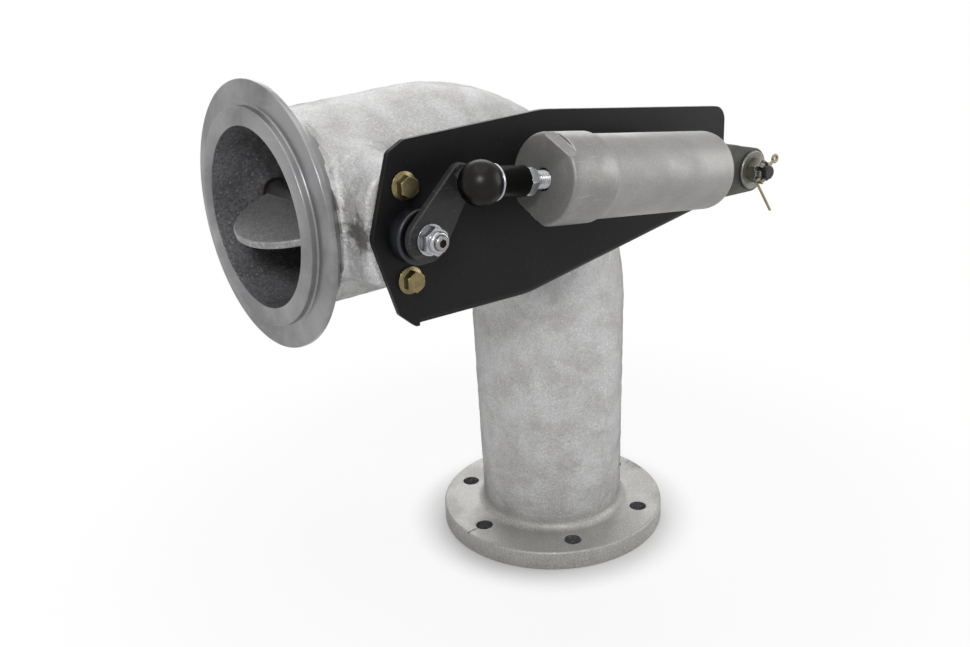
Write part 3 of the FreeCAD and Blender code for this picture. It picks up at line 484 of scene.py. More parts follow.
class Paintshop:
    """Makes each finish once as a material and puts it on pieces."""

    def __init__(self) -> None:
        """Build the shared effects and one material for each finish."""
        self.effects = Effects()
        self.materials = {finish: self._mix_up(finish.value, LOOKS[finish]) for finish in Finish}

    def _mix_up(self, name: str, look: Look) -> bpy.types.Material:
        """Build one material.

        Args:
            name: The material's name.
            look: How strongly each effect shows in it.

        Returns:
            The material.
        """
        material = bpy.data.materials.new(name)
        material.use_nodes = True
        w = Wiring(material.node_tree)

        def use(group: Tree, **values: object) -> bpy.types.bpy_prop_collection:
            """Place one shared effect with its values and return its outputs."""
            return w.add("ShaderNodeGroup", values, node_tree=group).outputs

        cloud = use(self.effects.cloud, Size=look.cloud_size * MM)["Mask"]
        colour = w.mix(w.times(cloud, look.cloud), look.colour, look.cloud_colour)
        roughness = w.ramp(cloud, 0.0, 1.0, look.roughness, look.roughness * BLOTCH_ROUGHENING)
        grain = use(self.effects.grain, Size=look.grain_size * MM)
        colour = w.mix(w.times(grain["Shade"], look.grain_shade), colour, BLACK)
        height = w.times(grain["Height"], look.grain_height)
        # Painted glints: bright specks in the colour stand in for sparkle on the grain, and give a
        # speckled tone.
        if look.speckle_and_glint:
            glint = use(self.effects.speckle_and_glint, Size=look.speckle_size * MM)["Mask"]
            colour = w.mix(w.times(glint, look.speckle_and_glint), colour, look.speckle_and_glint_colour)
        if look.ring_height:
            rings = use(self.effects.rings, Centre=look.ring_centre, Axis=look.ring_axis,
                        Pitch=look.ring_pitch * MM)["Height"]
            height = w.math("ADD", height, w.times(rings, look.ring_height))
        for patch in look.patches:
            mask = use(self.effects.patch, Centre=patch.centre, Radius=patch.radius,
                       Softness=patch.softness)["Mask"]
            mask = w.times(mask, patch.strength)
            colour = w.mix(mask, colour, patch.colour)
            if patch.grain:
                coarse = w.times(grain["Height"], patch.grain)
                height = w.math("ADD", height, w.times(coarse, mask))
            roughness = w.blend(mask, roughness, patch.roughness)
        # Painted shade at the silhouette: the colour darkens towards black where the surface turns
        # away from the view.
        if look.rim:
            facing = w.add("ShaderNodeLayerWeight", {"Blend": 0.3}).outputs["Facing"]
            colour = w.mix(w.times(w.ramp(facing, *RIM_SHADE_LIMITS), look.rim), colour, BLACK)
        if look.scratch:
            lines = w.times(use(self.effects.scratch)["Mask"], look.scratch)
            colour = w.mix(lines, colour, look.wear_and_highlight_colour)
        relief = {"Height": height, "Distance": MM, "Strength": 1.0}
        # Wear and painted highlight: the edge band is lightened, partly as bare rubbed metal,
        # partly as a painted edge highlight.
        if look.wear_and_highlight:
            worn_and_lit = use(self.effects.wear_and_highlight, Width=look.edge_band_width * MM)
            edge = w.times(worn_and_lit["Mask"], look.wear_and_highlight)
            colour = w.mix(edge, colour, look.wear_and_highlight_colour)
            roughness = w.blend(edge, roughness, look.edge_band_roughness)
            relief["Normal"] = worn_and_lit["Normal"]
        bump = w.add("ShaderNodeBump", relief)
        # Painted shade: the rim share also dims the specular tint, darkening the grazing
        # reflections.
        rim_shade_tint = 1.0 - look.rim
        shader = w.add("ShaderNodeBsdfPrincipled", {
            "Base Color": colour, "Roughness": roughness, "Metallic": look.metallic,
            "Normal": bump.outputs["Normal"], "Anisotropic": look.anisotropic,
            "Specular IOR Level": look.specular, "Specular Tint": (rim_shade_tint, rim_shade_tint, rim_shade_tint, 1.0)})
        w.add("ShaderNodeOutputMaterial", {"Surface": shader.outputs["BSDF"]})
        material.diffuse_color = (*look.colour, 1.0)
        return material

    def dress(self, piece: bpy.types.Object, finish: Finish) -> None:
        """Put a finish on every slot of a piece."""
        material = self.materials[finish]
        if not piece.material_slots:
            piece.data.materials.append(material)
        for slot in piece.material_slots:
            slot.material = material


def rounded(corners: Profile, steps: int = 4) -> list[tuple[float, float]]:
    """Return a closed profile with arcs at its corners.

    Args:
        corners: (radius, height) points, each with a corner radius where it is rounded.
        steps: How many edges each arc has.

    Returns:
        The points of the rounded profile.
    """
    points = []
    for index, corner in enumerate(corners):
        here = Vector((corner[0], corner[1], 0.0))
        size = corner[2] if len(corner) > 2 else 0.0
        if not size:
            points.append((here.x, here.y))
            continue
        last, following = corners[index - 1], corners[(index + 1) % len(corners)]
        before = (Vector((last[0], last[1], 0.0)) - here).normalized()
        after = (Vector((following[0], following[1], 0.0)) - here).normalized()
        half = before.angle(after) / 2
        centre = here + (before + after).normalized() * (size / math.sin(half))
        start = (here + before * (size / math.tan(half)) - centre).normalized()
        end = (here + after * (size / math.tan(half)) - centre).normalized()
        for step in range(steps + 1):
            point = centre + start.slerp(end, step / steps) * size
            points.append((point.x, point.y))
    return points


def ring_faces(rows: int, segments: int, closed: bool) -> list[tuple[int, ...]]:
    """Return the faces between rows of points round an axis.

    Args:
        rows: How many rows there are.
        segments: How many points each row has.
        closed: Whether the last row joins the first.

    Returns:
        The faces, as numbers of points.
    """
    faces = []
    for row in range(rows if closed else rows - 1):
        low, high = row * segments, (row + 1) % rows * segments
        for step in range(segments):
            after = (step + 1) % segments
            faces.append((low + step, low + after, high + after, high + step))
    return faces


def lathe(name: str, profile: Profile, place: Place, segments: int) -> Mesh:
    """Turn a closed profile about a frame's Z.

    Args:
        name: The mesh's name.
        profile: (radius, height) points in millimetres, in order round the section.
        place: The local frame.
        segments: How many steps the turn has.

    Returns:
        The mesh, in metres in the model's frame.
    """
    rows = np.array([(p[0], p[1]) for p in profile])
    turn = np.linspace(0.0, 2 * math.pi, segments, endpoint=False)
    x, y = np.outer(rows[:, 0], np.cos(turn)), np.outer(rows[:, 0], np.sin(turn))
    z = np.repeat(rows[:, 1:2], segments, axis=1)
    points = np.stack([x, y, z], axis=2).reshape(-1, 3)
    mesh = bpy.data.meshes.new(name)
    mesh.from_pydata(points.tolist(), [], ring_faces(len(rows), segments, True))
    work = bmesh.new()
    work.from_mesh(mesh)
    bmesh.ops.remove_doubles(work, verts=work.verts, dist=SAME_POINT)
    bmesh.ops.recalc_face_normals(work, faces=work.faces)
    work.to_mesh(mesh)
    work.free()
    mesh.transform(place.matrix())
    mesh.update()
    return mesh


def prism(name: str, outline: Profile, low: float, high: float, place: Place) -> Mesh:
    """Return a prism of an (x, y) outline between two heights of a frame, in millimetres."""
    work = bmesh.new()
    base = work.faces.new([work.verts.new((p[0], p[1], low)) for p in outline])
    raised = bmesh.ops.extrude_face_region(work, geom=[base])["geom"]
    lifted = [item for item in raised if isinstance(item, bmesh.types.BMVert)]
    bmesh.ops.translate(work, vec=(0.0, 0.0, high - low), verts=lifted)
    bmesh.ops.recalc_face_normals(work, faces=work.faces)
    mesh = bpy.data.meshes.new(name)
    work.to_mesh(mesh)
    work.free()
    mesh.transform(place.matrix())
    return mesh


def linked(name: str, data: bpy.types.ID) -> bpy.types.Object:
    """Return a new object of a mesh, lamp or camera, put into the scene."""
    item = bpy.data.objects.new(name, data)
    bpy.context.scene.collection.objects.link(item)
    return item


def carved(mesh: Mesh, cutters: Sequence[Mesh]) -> Mesh:
    """Return a mesh with other meshes cut out of it, one after the other."""
    piece, *tools = [linked(item.name, item) for item in (mesh, *cutters)]
    for tool in tools:
        cut = piece.modifiers.new(tool.name, "BOOLEAN")
        cut.operation = "DIFFERENCE"
        cut.solver = "EXACT"
        cut.object = tool
    result = settled(piece)
    for item in (piece, *tools):
        bpy.data.objects.remove(item)
    return result


def settled(piece: bpy.types.Object) -> Mesh:
    """Return an object's mesh with its modifiers applied."""
    graph = bpy.context.evaluated_depsgraph_get()
    graph.update()
    return bpy.data.meshes.new_from_object(piece.evaluated_get(graph))


def read_points(mesh: Mesh) -> np.ndarray:
    """Return the points of a mesh, one row each."""
    points = np.empty(len(mesh.vertices) * 3)
    mesh.vertices.foreach_get("co", points)
    return points.reshape(-1, 3)


def write_points(mesh: Mesh, points: np.ndarray) -> None:
    """Put points into a mesh."""
    mesh.vertices.foreach_set("co", points.ravel())
    mesh.update()


def eased(value: np.ndarray, low: float, high: float) -> np.ndarray:
    """Return values mapped smoothly from 0 at low to 1 at high."""
    share = np.clip((value - low) / (high - low), 0.0, 1.0)
    return share * share * (3.0 - 2.0 * share)


@dataclass
class Workshop:
    """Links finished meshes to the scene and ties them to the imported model."""

    shop: Paintshop
    nodes: dict[str, bpy.types.Object]

    def deliver(self, mesh: Mesh, name: str, finish: Finish, body: str, slot: str,
                replaced: Sequence[str], crease: float) -> bpy.types.Object:
        """Make one piece of a mesh.

        Args:
            mesh: Its mesh, in metres in the model's frame.
            name: The piece's name.
            finish: Its finish.
            body: The body that it moves with.
            slot: The record's material slot; not used.
            replaced: The CAD nodes that it stands for.
            crease: Edges sharper than this many degrees stay sharp.

        Returns:
            The piece.
        """
        mesh.materials.clear()
        for face in mesh.polygons:
            face.use_smooth = True
        mesh.set_sharp_from_angle(angle=math.radians(crease))
        mesh.name = name
        piece = linked(name, mesh)
        self.shop.dress(piece, finish)
        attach(piece, body)
        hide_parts(*replaced)
        LOG.info("%s: %s, %d faces", name, finish.value, len(mesh.polygons))
        return piece

    def copied(self, node: str) -> Mesh:
        """Return a copy of a CAD node's mesh with its double points joined."""
        mesh = self.nodes[node].data.copy()
        work = bmesh.new()
        work.from_mesh(mesh)
        bmesh.ops.remove_doubles(work, verts=work.verts, dist=SAME_CAD_POINT)
        work.to_mesh(mesh)
        work.free()
        return mesh


@dataclass
class CastElbow:
    """The cast duct, its bosses and the flanges at its two ends. Sizes in millimetres.

    A pair holds the two ends of a stretch or of a smooth change.
    """

    work: Workshop
    voxel: float = 1.5
    melt_rounds: int = 10
    root_rounds: int = 60
    melt_pull: float = 0.5
    root_front: Pair = (-80.0, -70.0)
    root_back: Pair = (-45.0, -32.0)
    root_side: Pair = (34.0, 46.0)
    root_inlet: Pair = (-203.0, -197.0)
    shaft_x: float = -171.0
    droop_front: Pair = (46.0, 58.0)
    droop_ends: Pair = (-202.0, -130.0)
    droop_start: float = -22.0
    droop_share: float = 0.45
    drawn_bend: float = 88.0
    real_bend: float = 103.0
    bore_r: float = 50.0
    bore_taper: float = 2.5
    inner_skin: float = 2.5
    crown_rise: float = 2.5
    crown_growth: float = 1.5
    crown_lead: float = 87.0
    crown_inside: Pair = (1.5, 3.0)
    crown_outside: Pair = (58.0, 68.0)
    lumps: tuple[Pair, ...] = ((8.0, 0.42), (3.4, 0.20))
    lump_skin: Pair = (2.0, 3.5)
    flank_x: float = -195.0
    flank_width: float = 12.0
    flank_front: float = -20.0
    flank_gain: float = 1.2
    seat_fade: Pair = (80.0, 82.5)
    inlet_cut: float = -198.5
    inlet_sink: Pair = (189.5, 192.5)
    cone_rise: float = 14.0
    cone_run: float = 12.0
    cone_gap: Pair = (0.4, 1.6)
    outlet_cut: float = 19.0
    outlet_sink: Pair = (19.5, 22.5)
    flange_r: float = 74.0
    inlet_face: float = -212.0
    pilot_r: float = 60.3
    pilot_foot: float = -207.5
    rim_back: float = -204.2
    cone_end: float = -192.7
    cone_end_r: float = 60.6
    neck_end: float = -190.6
    neck_r: float = 59.0
    outlet_r: float = 80.0
    outlet_thickness: float = 13.5
    outlet_bore_r: float = 45.0
    outlet_neck: float = 25.0
    fillet_r: float = 50.2
    pipe_r: float = 50.0
    pipe_start: float = 21.0
    tip_outer_r: float = 48.8
    tip_inner_r: float = 45.3
    bolt_circle_r: float = 65.0
    hole_r: float = 6.0
    hole_count: int = 6
    hole_segments: int = 40
    hole_cut: Pair = (-2.0, 30.0)
    hole_margin: float = 0.1
    inlet_margin: float = 0.3
    parting_ends: Pair = (70.0, 82.0)
    parting_halves: Pair = (0.3, 0.5)
    parting_heights: Pair = (12.9, 15.0)
    turned_segments: int = 240
    cast_crease: float = 80.0
    turned_crease: float = 32.0

    def casting(self) -> Mesh:
        """Return the rough casting between the flanges.

        The CAD solid is remeshed evenly, its corners are melted into cast fillets, its elbow is
        drawn to the real one's line, and its outer skin gets the lumps of a sand casting.

        Returns:
            The mesh.
        """
        piece = linked("rough", self.work.copied("valve_body"))
        even = piece.modifiers.new("even", "REMESH")
        even.mode = "VOXEL"
        even.voxel_size = self.voxel * MM
        mesh = settled(piece)
        bpy.data.objects.remove(piece)
        edges = np.empty(len(mesh.edges) * 2, dtype=int)
        mesh.edges.foreach_get("vertices", edges)
        points = self._melted(read_points(mesh) / MM, edges.reshape(-1, 2))
        points = self._lowered_boss(points)
        _, outward, bore = self._course(points)
        inner = np.hypot(outward, points[:, 1]) < bore + self.inner_skin
        marks = mesh.attributes.new("inner", "FLOAT", "POINT")
        marks.data.foreach_set("value", inner.astype(float))
        points = self._lumpy(mesh, self._redrawn(points))
        write_points(mesh, points * MM)
        return self._trimmed(mesh)

    @staticmethod
    def _normals(mesh: Mesh, points: np.ndarray) -> np.ndarray:
        """Return the unit normals of a mesh at its moved points, given in millimetres."""
        write_points(mesh, points * MM)
        normals = np.empty(len(mesh.vertices) * 3)
        mesh.vertex_normals.foreach_get("vector", normals)
        return normals.reshape(-1, 3)

    def _melted(self, points: np.ndarray, edges: np.ndarray) -> np.ndarray:
        """Return the points smoothed, most of all round the foot of the front boss."""
        count = len(points)
        ends = np.concatenate([edges[:, 0], edges[:, 1]])
        others = np.concatenate([edges[:, 1], edges[:, 0]])
        degree = np.maximum(np.bincount(ends, minlength=count), 1)[:, None]
        root = (eased(points[:, 1], *self.root_front)
                * (1.0 - eased(points[:, 1], *self.root_back))
                * (1.0 - eased(np.abs(points[:, 0] - self.shaft_x), *self.root_side))
                * eased(points[:, 0], *self.root_inlet))[:, None]
        for turn in range(self.melt_rounds + self.root_rounds):
            sums = np.stack([np.bincount(ends, weights=points[others, axis], minlength=count)
                             for axis in range(3)], axis=1)
            step = sums / degree - points
            weight = 1.0 if turn < self.melt_rounds else root
            points = points + step * (self.melt_pull * weight)
        return points

    def _lowered_boss(self, points: np.ndarray) -> np.ndarray:
        """Return the points with the lower end of the front boss drawn in."""
        points = points.copy()
        below = points[:, 2] - AXIS_HEIGHT
        first, last = self.droop_ends
        boss = (eased(-points[:, 1], *self.droop_front) * (points[:, 0] > first)
                * (points[:, 0] < last) * (below < self.droop_start))
        points[:, 2] -= boss * (below - self.droop_start) * self.droop_share
        return points

    def _course(self, points: np.ndarray) -> tuple[np.ndarray, np.ndarray, np.ndarray]:
        """Follow the duct's centre line.

        Args:
            points: Points in millimetres.

        Returns:
            How far along the line from the start of the real bend each point lies, its distance
            outwards from the line in the line's plane, and the bore's radius there.
        """
        x, z = points[:, 0], points[:, 2]
        low = AXIS_HEIGHT - self.drawn_bend
        lead = self.real_bend - self.drawn_bend
        up, across = z - low, x + self.drawn_bend
        turned = np.clip(1.0 - np.arctan2(up, across) / (math.pi / 2), 0.0, 1.0)
        quarter = self.drawn_bend * math.pi / 2
        level = across <= 0.0
        falling = ~level & (up <= 0.0)
        along = np.where(level, x + self.real_bend,
                         np.where(falling, lead + quarter - up, lead + quarter * turned))
        outward = np.where(level, z - AXIS_HEIGHT,
                           np.where(falling, x, np.hypot(across, up) - self.drawn_bend))
        middle_r = self.bore_r - self.bore_taper
        bore = np.where(level, self.bore_r,
                        np.where(falling, middle_r + self.bore_taper * up / low,
                                 self.bore_r - self.bore_taper * turned))
        return along, outward, bore

    def _redrawn(self, points: np.ndarray) -> np.ndarray:
        """Return the points moved from the plain bend to the wider one with a fuller crown."""
        along, outward, bore = self._course(points)
        y = points[:, 1]
        length = 2 * (self.real_bend - self.drawn_bend) + self.drawn_bend * math.pi / 2
        share = np.clip(along / length, 0.0, 1.0)
        away = np.maximum(np.hypot(outward, y), 1.0)
        skin = eased(away - bore, *self.crown_inside) * (1.0 - eased(away, *self.crown_outside))
        lead = np.clip((along + self.crown_lead) / self.crown_lead, 0.0, 1.0)
        crown = skin * np.where(along < 0.0, lead, 1.0 - share)
        spread = 1.0 + self.crown_growth * crown / away
        outward = outward * spread + self.crown_rise * crown
        moved = points.copy()
        moved[:, 1] = y * spread
        turn = (1.0 - share) * math.pi / 2
        inside = (along > 0.0) & (along < length)
        middle = AXIS_HEIGHT - self.real_bend
        reach = self.real_bend + outward
        moved[:, 0] = np.where(inside, reach * np.cos(turn) - self.real_bend,
                               np.where(along <= 0.0, points[:, 0], outward))
        moved[:, 2] = np.where(inside, reach * np.sin(turn) + middle,
                               np.where(along <= 0.0, AXIS_HEIGHT + outward, points[:, 2]))
        return moved

    def _lumpy(self, mesh: Mesh, points: np.ndarray) -> np.ndarray:
        """Return the points with the lumps of sand casting on the outer skin."""
        normals = self._normals(mesh, points)
        _, outward, bore = self._course(points)
        outer = (eased(np.hypot(outward, points[:, 1]) - bore, *self.lump_skin)
                 * (1.0 - eased(-points[:, 1], *self.seat_fade)))
        flank = (np.exp(-((points[:, 0] - self.flank_x) / self.flank_width) ** 2)
                 * (points[:, 1] < self.flank_front))
        height = np.array([sum(noise.noise(Vector(p) / size) * rise for size, rise in self.lumps)
                           for p in points]) * (1.0 + self.flank_gain * flank)
        return points + normals * (height * outer)[:, None]

    def _trimmed(self, mesh: Mesh) -> Mesh:
        """Return the mesh cut at both flanges, its ends drawn in under the turned pieces."""
        points = read_points(mesh) / MM
        radius = np.hypot(points[:, 1], points[:, 2] - AXIS_HEIGHT)
        cone = self.flange_r - (points[:, 0] - self.rim_back) * self.cone_rise / self.cone_run
        inlet = (eased(-points[:, 0], *self.inlet_sink)
                 * (1.0 - eased(radius - cone, *self.cone_gap)))
        outlet = 1.0 - eased(points[:, 2], *self.outlet_sink)
        drawn_in = np.maximum(inlet, outlet)[:, None] * self._normals(mesh, points)
        write_points(mesh, (points - drawn_in) * MM)
        cutter = bmesh.new()
        cutter.from_mesh(mesh)
        for spot, facing in (((self.inlet_cut * MM, 0.0, 0.0), (-1.0, 0.0, 0.0)),
                             ((0.0, 0.0, self.outlet_cut * MM), (0.0, 0.0, -1.0))):
            cut = bmesh.ops.bisect_plane(
                cutter, geom=cutter.verts[:] + cutter.edges[:] + cutter.faces[:],
                plane_co=spot, plane_no=facing, clear_outer=True)
            rim = [item for item in cut["geom_cut"] if isinstance(item, bmesh.types.BMEdge)]
            bmesh.ops.triangle_fill(cutter, edges=rim, use_beauty=True)
        bmesh.ops.recalc_face_normals(cutter, faces=cutter.faces)
        cutter.to_mesh(mesh)
        cutter.free()
        return mesh

    def _darken_bore_and_holes(self, mesh: Mesh, finish: Finish) -> None:
        """Give the faces inside the duct and in the bolt holes the darker rough bore finish; its
        dark colour partly paints the shade in these recesses.

        Args:
            mesh: The mesh of one of the three pieces.
            finish: The piece's own finish, which tells which piece it is.
        """
        if finish is Finish.CASTING:
            marks = np.empty(len(mesh.vertices))
            mesh.attributes["inner"].data.foreach_get("value", marks)
            inner = marks > 0.5
        else:
            x, y, z = (read_points(mesh) / MM).T
            if finish is Finish.MACHINED:
                inner = np.hypot(y, z - AXIS_HEIGHT) < self.bore_r + self.inlet_margin
            else:
                step = 2 * math.pi / self.hole_count
                turn = np.round(np.arctan2(y, x) / step) * step
                away = np.hypot(x - self.bolt_circle_r * np.cos(turn),
                                y - self.bolt_circle_r * np.sin(turn))
                inner = away < self.hole_r + self.hole_margin
        # Painted shade: the recess faces get the dark bore finish.
        mesh.materials.append(self.work.shop.materials[Finish.SHADED_BORE])
        for face in mesh.polygons:
            face.material_index = int(all(inner[v] for v in face.vertices))

    def inlet_flange(self) -> Mesh:
        """Return the turned clamp flange with its raised pilot."""
        place = Place(Vector((0.0, 0.0, AXIS_HEIGHT * MM)), Vector((0, 1, 0)), Vector((1, 0, 0)))
        profile = rounded([
            (self.bore_r, self.inlet_face, 0.5), (self.pilot_r, self.inlet_face, 0.7),
            (self.pilot_r, self.pilot_foot, 1.0), (self.flange_r, self.pilot_foot, 0.6),
            (self.flange_r, self.rim_back, 0.8), (self.cone_end_r, self.cone_end, 3.0),
            (self.neck_r, self.neck_end), (self.bore_r, self.neck_end)])
        return lathe("inlet_flange", profile, place, self.turned_segments)

    def outlet_flange(self) -> Mesh:
        """Return the cast outlet flange with its fillet, six holes and parting lines."""
        place = Place(Vector((0.0, 0.0, 0.0)), Vector((1, 0, 0)), Vector((0, 0, 1)))
        profile = rounded([
            (self.outlet_bore_r, 0.0, 0.5), (self.outlet_r, 0.0, 1.2),
            (self.outlet_r, self.outlet_thickness, 1.5),
            (self.fillet_r, self.outlet_thickness, 6.0), (self.pipe_r, self.pipe_start),
            (self.tip_outer_r, self.outlet_neck), (self.tip_inner_r, self.outlet_neck)], 6)
        flange = lathe("outlet_flange", profile, place, self.turned_segments)
        cutters = []
        low, high = self.hole_cut
        for index in range(self.hole_count):
            turn = 2 * math.pi / self.hole_count * index
            hole = place.moved(self.bolt_circle_r * math.cos(turn),
                               self.bolt_circle_r * math.sin(turn), 0.0)
            cutters.append(lathe("hole", [(self.hole_r, low), (self.hole_r, high), (0.0, high),
                                          (0.0, low)], hole, self.hole_segments))
        (start, end), (inner, outer) = self.parting_ends, self.parting_halves
        for side in (1, -1):
            outline = [(side * start, -inner), (side * end, -outer), (side * end, outer),
                       (side * start, inner)]
            cutters.append(prism("parting_line", outline, *self.parting_heights, place))
        return carved(flange, cutters)

    def build(self) -> None:
        """Make the casting and both flanges."""
        for mesh, name, finish in (
                (self.casting(), "cast_elbow", Finish.CASTING),
                (self.inlet_flange(), "inlet_clamp_flange", Finish.MACHINED),
                (self.outlet_flange(), "outlet_bolt_flange", Finish.FLANGE)):
            crease = self.cast_crease if finish is Finish.CASTING else self.turned_crease
            piece = self.work.deliver(mesh, name, finish, "housing", "cast_iron", ["valve_body"],
                                      crease)
            self._darken_bore_and_holes(piece.data, finish)


@dataclass
class RodEnd:
    """Ball socket, lock nut, threaded rod and the cylinder's front cap, along the rod's axis."""

    work: Workshop
    ball: Triple = (-0.1487963, -0.12, 0.2932746)
    along: Triple = (0.991506, 0.0, -0.130064)
    shank_end: float = 27.0
    drawn_shank_end: float = 32.0
    nut_flats: float = 14.0
    drawn_nut_flats: float = 16.0
    nut_height: float = 5.0
    drawn_nut_height: float = 5.5
    rod_r: float = 5.0
    rod_start: float = 14.0
    shank_split: float = 25.0
    nut_bore_r: float = 5.6
    thread_pitch: float = 1.5
    thread_depth: float = 0.8
    thread_inset: float = 0.04
    groove_slope: float = 1.3
    root_flat: float = 0.15
    thread_end: float = 47.0
    spigot_start: float = 141.0122
    spigot_r: float = 4.0
    rod_end: float = 157.5
    cap_face: float = 40.5
    cap_r: float = 24.0
    cap_hole_r: float = 5.8
    cap_inner_face: float = 54.0
    cap_inner_r: float = 21.05
    guide_r: float = 8.0
    guide_start: float = 47.0
    cap_chamfer: float = 68.0
    barrel_r: float = 22.5
    barrel_start: float = 73.0
    flat_half: float = 20.3
    flat_rise: float = 1.9
    flat_length: float = 4.9
    flat_deg: float = 24.0
    cutter_lead: float = 2.0
    cutter_r: float = 28.0
    cutter_half: float = 26.0
    crease: float = 28.0

    def place(self) -> Place:
        """Return the rod's frame: Z along the rod and X upwards."""
        return Place(Vector(self.ball), Vector((0, 0, 1)), Vector(self.along))

    def reshaped(self, node: str, reshape: Callable[[np.ndarray], np.ndarray]) -> Mesh:
        """Return a copy of a CAD node's mesh with its points moved in the rod's frame.

        Args:
            node: The CAD node.
            reshape: Takes and returns the points in millimetres.

        Returns:
            The new mesh.
        """
        mesh = self.work.copied(node)
        mesh.transform(self.place().matrix().inverted())
        write_points(mesh, reshape(read_points(mesh)))
        mesh.transform(self.place().matrix())
        mesh.update()
        return mesh

    def socket(self) -> Mesh:
        """Return the ball socket with its shorter shank."""
        def shorter(points: np.ndarray) -> np.ndarray:
            """Draw the shank's end in."""
            moved = points[:, 2] > self.shank_split
            points[:, 2] -= moved * (self.drawn_shank_end - self.shank_end)
            return points
        return self.reshaped("ball_socket", shorter)

    def lock_nut(self) -> Mesh:
        """Return the smaller, thinner lock nut, against the shank's end."""
        def smaller(points: np.ndarray) -> np.ndarray:
            """Scale the flats and the height."""
            radius = np.hypot(points[:, 0], points[:, 1])
            share = np.where(radius > self.nut_bore_r, self.nut_flats / self.drawn_nut_flats, 1.0)
            points[:, :2] *= share[:, None]
            points[:, 2] = self.shank_end + (points[:, 2] - self.drawn_shank_end) * (
                self.nut_height / self.drawn_nut_height)
            return points
        return self.reshaped("rod_lock_nut", smaller)

    def rod(self) -> Mesh:
        """Return the piston rod with its rolled thread."""
        segments, steps = 48, 8
        turns = (self.thread_end - self.rod_start) / self.thread_pitch
        heights = self.rod_start + np.arange(round(turns * steps) + 1) * self.thread_pitch / steps
        theta = np.linspace(0.0, 2 * math.pi, segments, endpoint=False)
        phase = (heights[:, None] / self.thread_pitch - theta[None, :] / (2 * math.pi)) % 1.0
        groove = np.abs(2.0 * phase - 1.0) * self.groove_slope - self.root_flat
        groove = np.clip(groove, 0.0, 1.0)
        fade = np.clip((self.thread_end - heights) / self.thread_pitch, 0.0, 1.0)[:, None]
        radii = self.rod_r - self.thread_inset - self.thread_depth * groove * fade
        tail = [(self.rod_r, self.thread_end + 0.4), (self.rod_r, self.spigot_start),
                (self.spigot_r, self.spigot_start), (self.spigot_r, self.rod_end)]
        heights = np.concatenate([heights, [height for _, height in tail]])
        radii = np.concatenate([radii, [[radius] * segments for radius, _ in tail]])
        points = np.stack([radii * np.cos(theta), radii * np.sin(theta),
                           np.repeat(heights[:, None], segments, axis=1)], axis=2).reshape(-1, 3)
        last = (len(heights) - 1) * segments
        faces = [tuple(reversed(range(segments))), *ring_faces(len(heights), segments, False),
                 tuple(range(last, last + segments))]
        mesh = bpy.data.meshes.new("rod")
        mesh.from_pydata(points.tolist(), [], faces)
        mesh.transform(self.place().matrix())
        mesh.update()
        return mesh

    def front_cap(self) -> Mesh:
        """Return the screwed cap with its two sloping spanner flats."""
        place = self.place()
        cap = lathe("front_cap", rounded([
            (self.cap_hole_r, self.cap_face, 0.5), (self.cap_r, self.cap_face, 2.0),
            (self.cap_r, self.cap_chamfer), (self.barrel_r, self.barrel_start),
            (self.cap_inner_r, self.barrel_start), (self.cap_inner_r, self.cap_inner_face),
            (self.guide_r, self.cap_inner_face), (self.guide_r, self.guide_start),
            (self.cap_hole_r, self.guide_start)]), place, 144)
        along = Vector(self.along)
        upright = (place.x - along * place.x.dot(along)).normalized()
        sideways = along.cross(upright)
        cutters = []
        for turn in (math.radians(self.flat_deg), math.radians(self.flat_deg) + math.pi):
            facing = upright * math.cos(turn) + sideways * math.sin(turn)
            slope = self.flat_rise / self.flat_length
            end = self.cap_face + self.flat_length
            start = self.cap_face - self.cutter_lead
            outline = [(self.flat_half - slope * self.cutter_lead, start),
                       (self.flat_half + self.flat_rise, end), (self.cutter_r, end),
                       (self.cutter_r, start)]
            cutters.append(prism("flat", outline, -self.cutter_half, self.cutter_half,
                                 Place(place.origin, facing, facing.cross(along))))
        return carved(cap, cutters)

    def build(self) -> None:
        """Make the four pieces."""
        for mesh, name, finish, body, slot, node in (
                (self.socket(), "short_ball_socket", Finish.GUNMETAL, "rod", "gunmetal",
                 "ball_socket"),
                (self.lock_nut(), "thin_lock_nut", Finish.BRIGHT_ZINC, "rod", "bright_zinc",
                 "rod_lock_nut"),
                (self.rod(), "threaded_rod", Finish.BRIGHT_ZINC, "rod", "bright_zinc",
                 "piston_rod"),
                (self.front_cap(), "cylinder_front_cap", Finish.CAP, "cylinder", "aluminium",
                 "front_cap")):
            self.work.deliver(mesh, name, finish, body, slot, [node], self.crease)


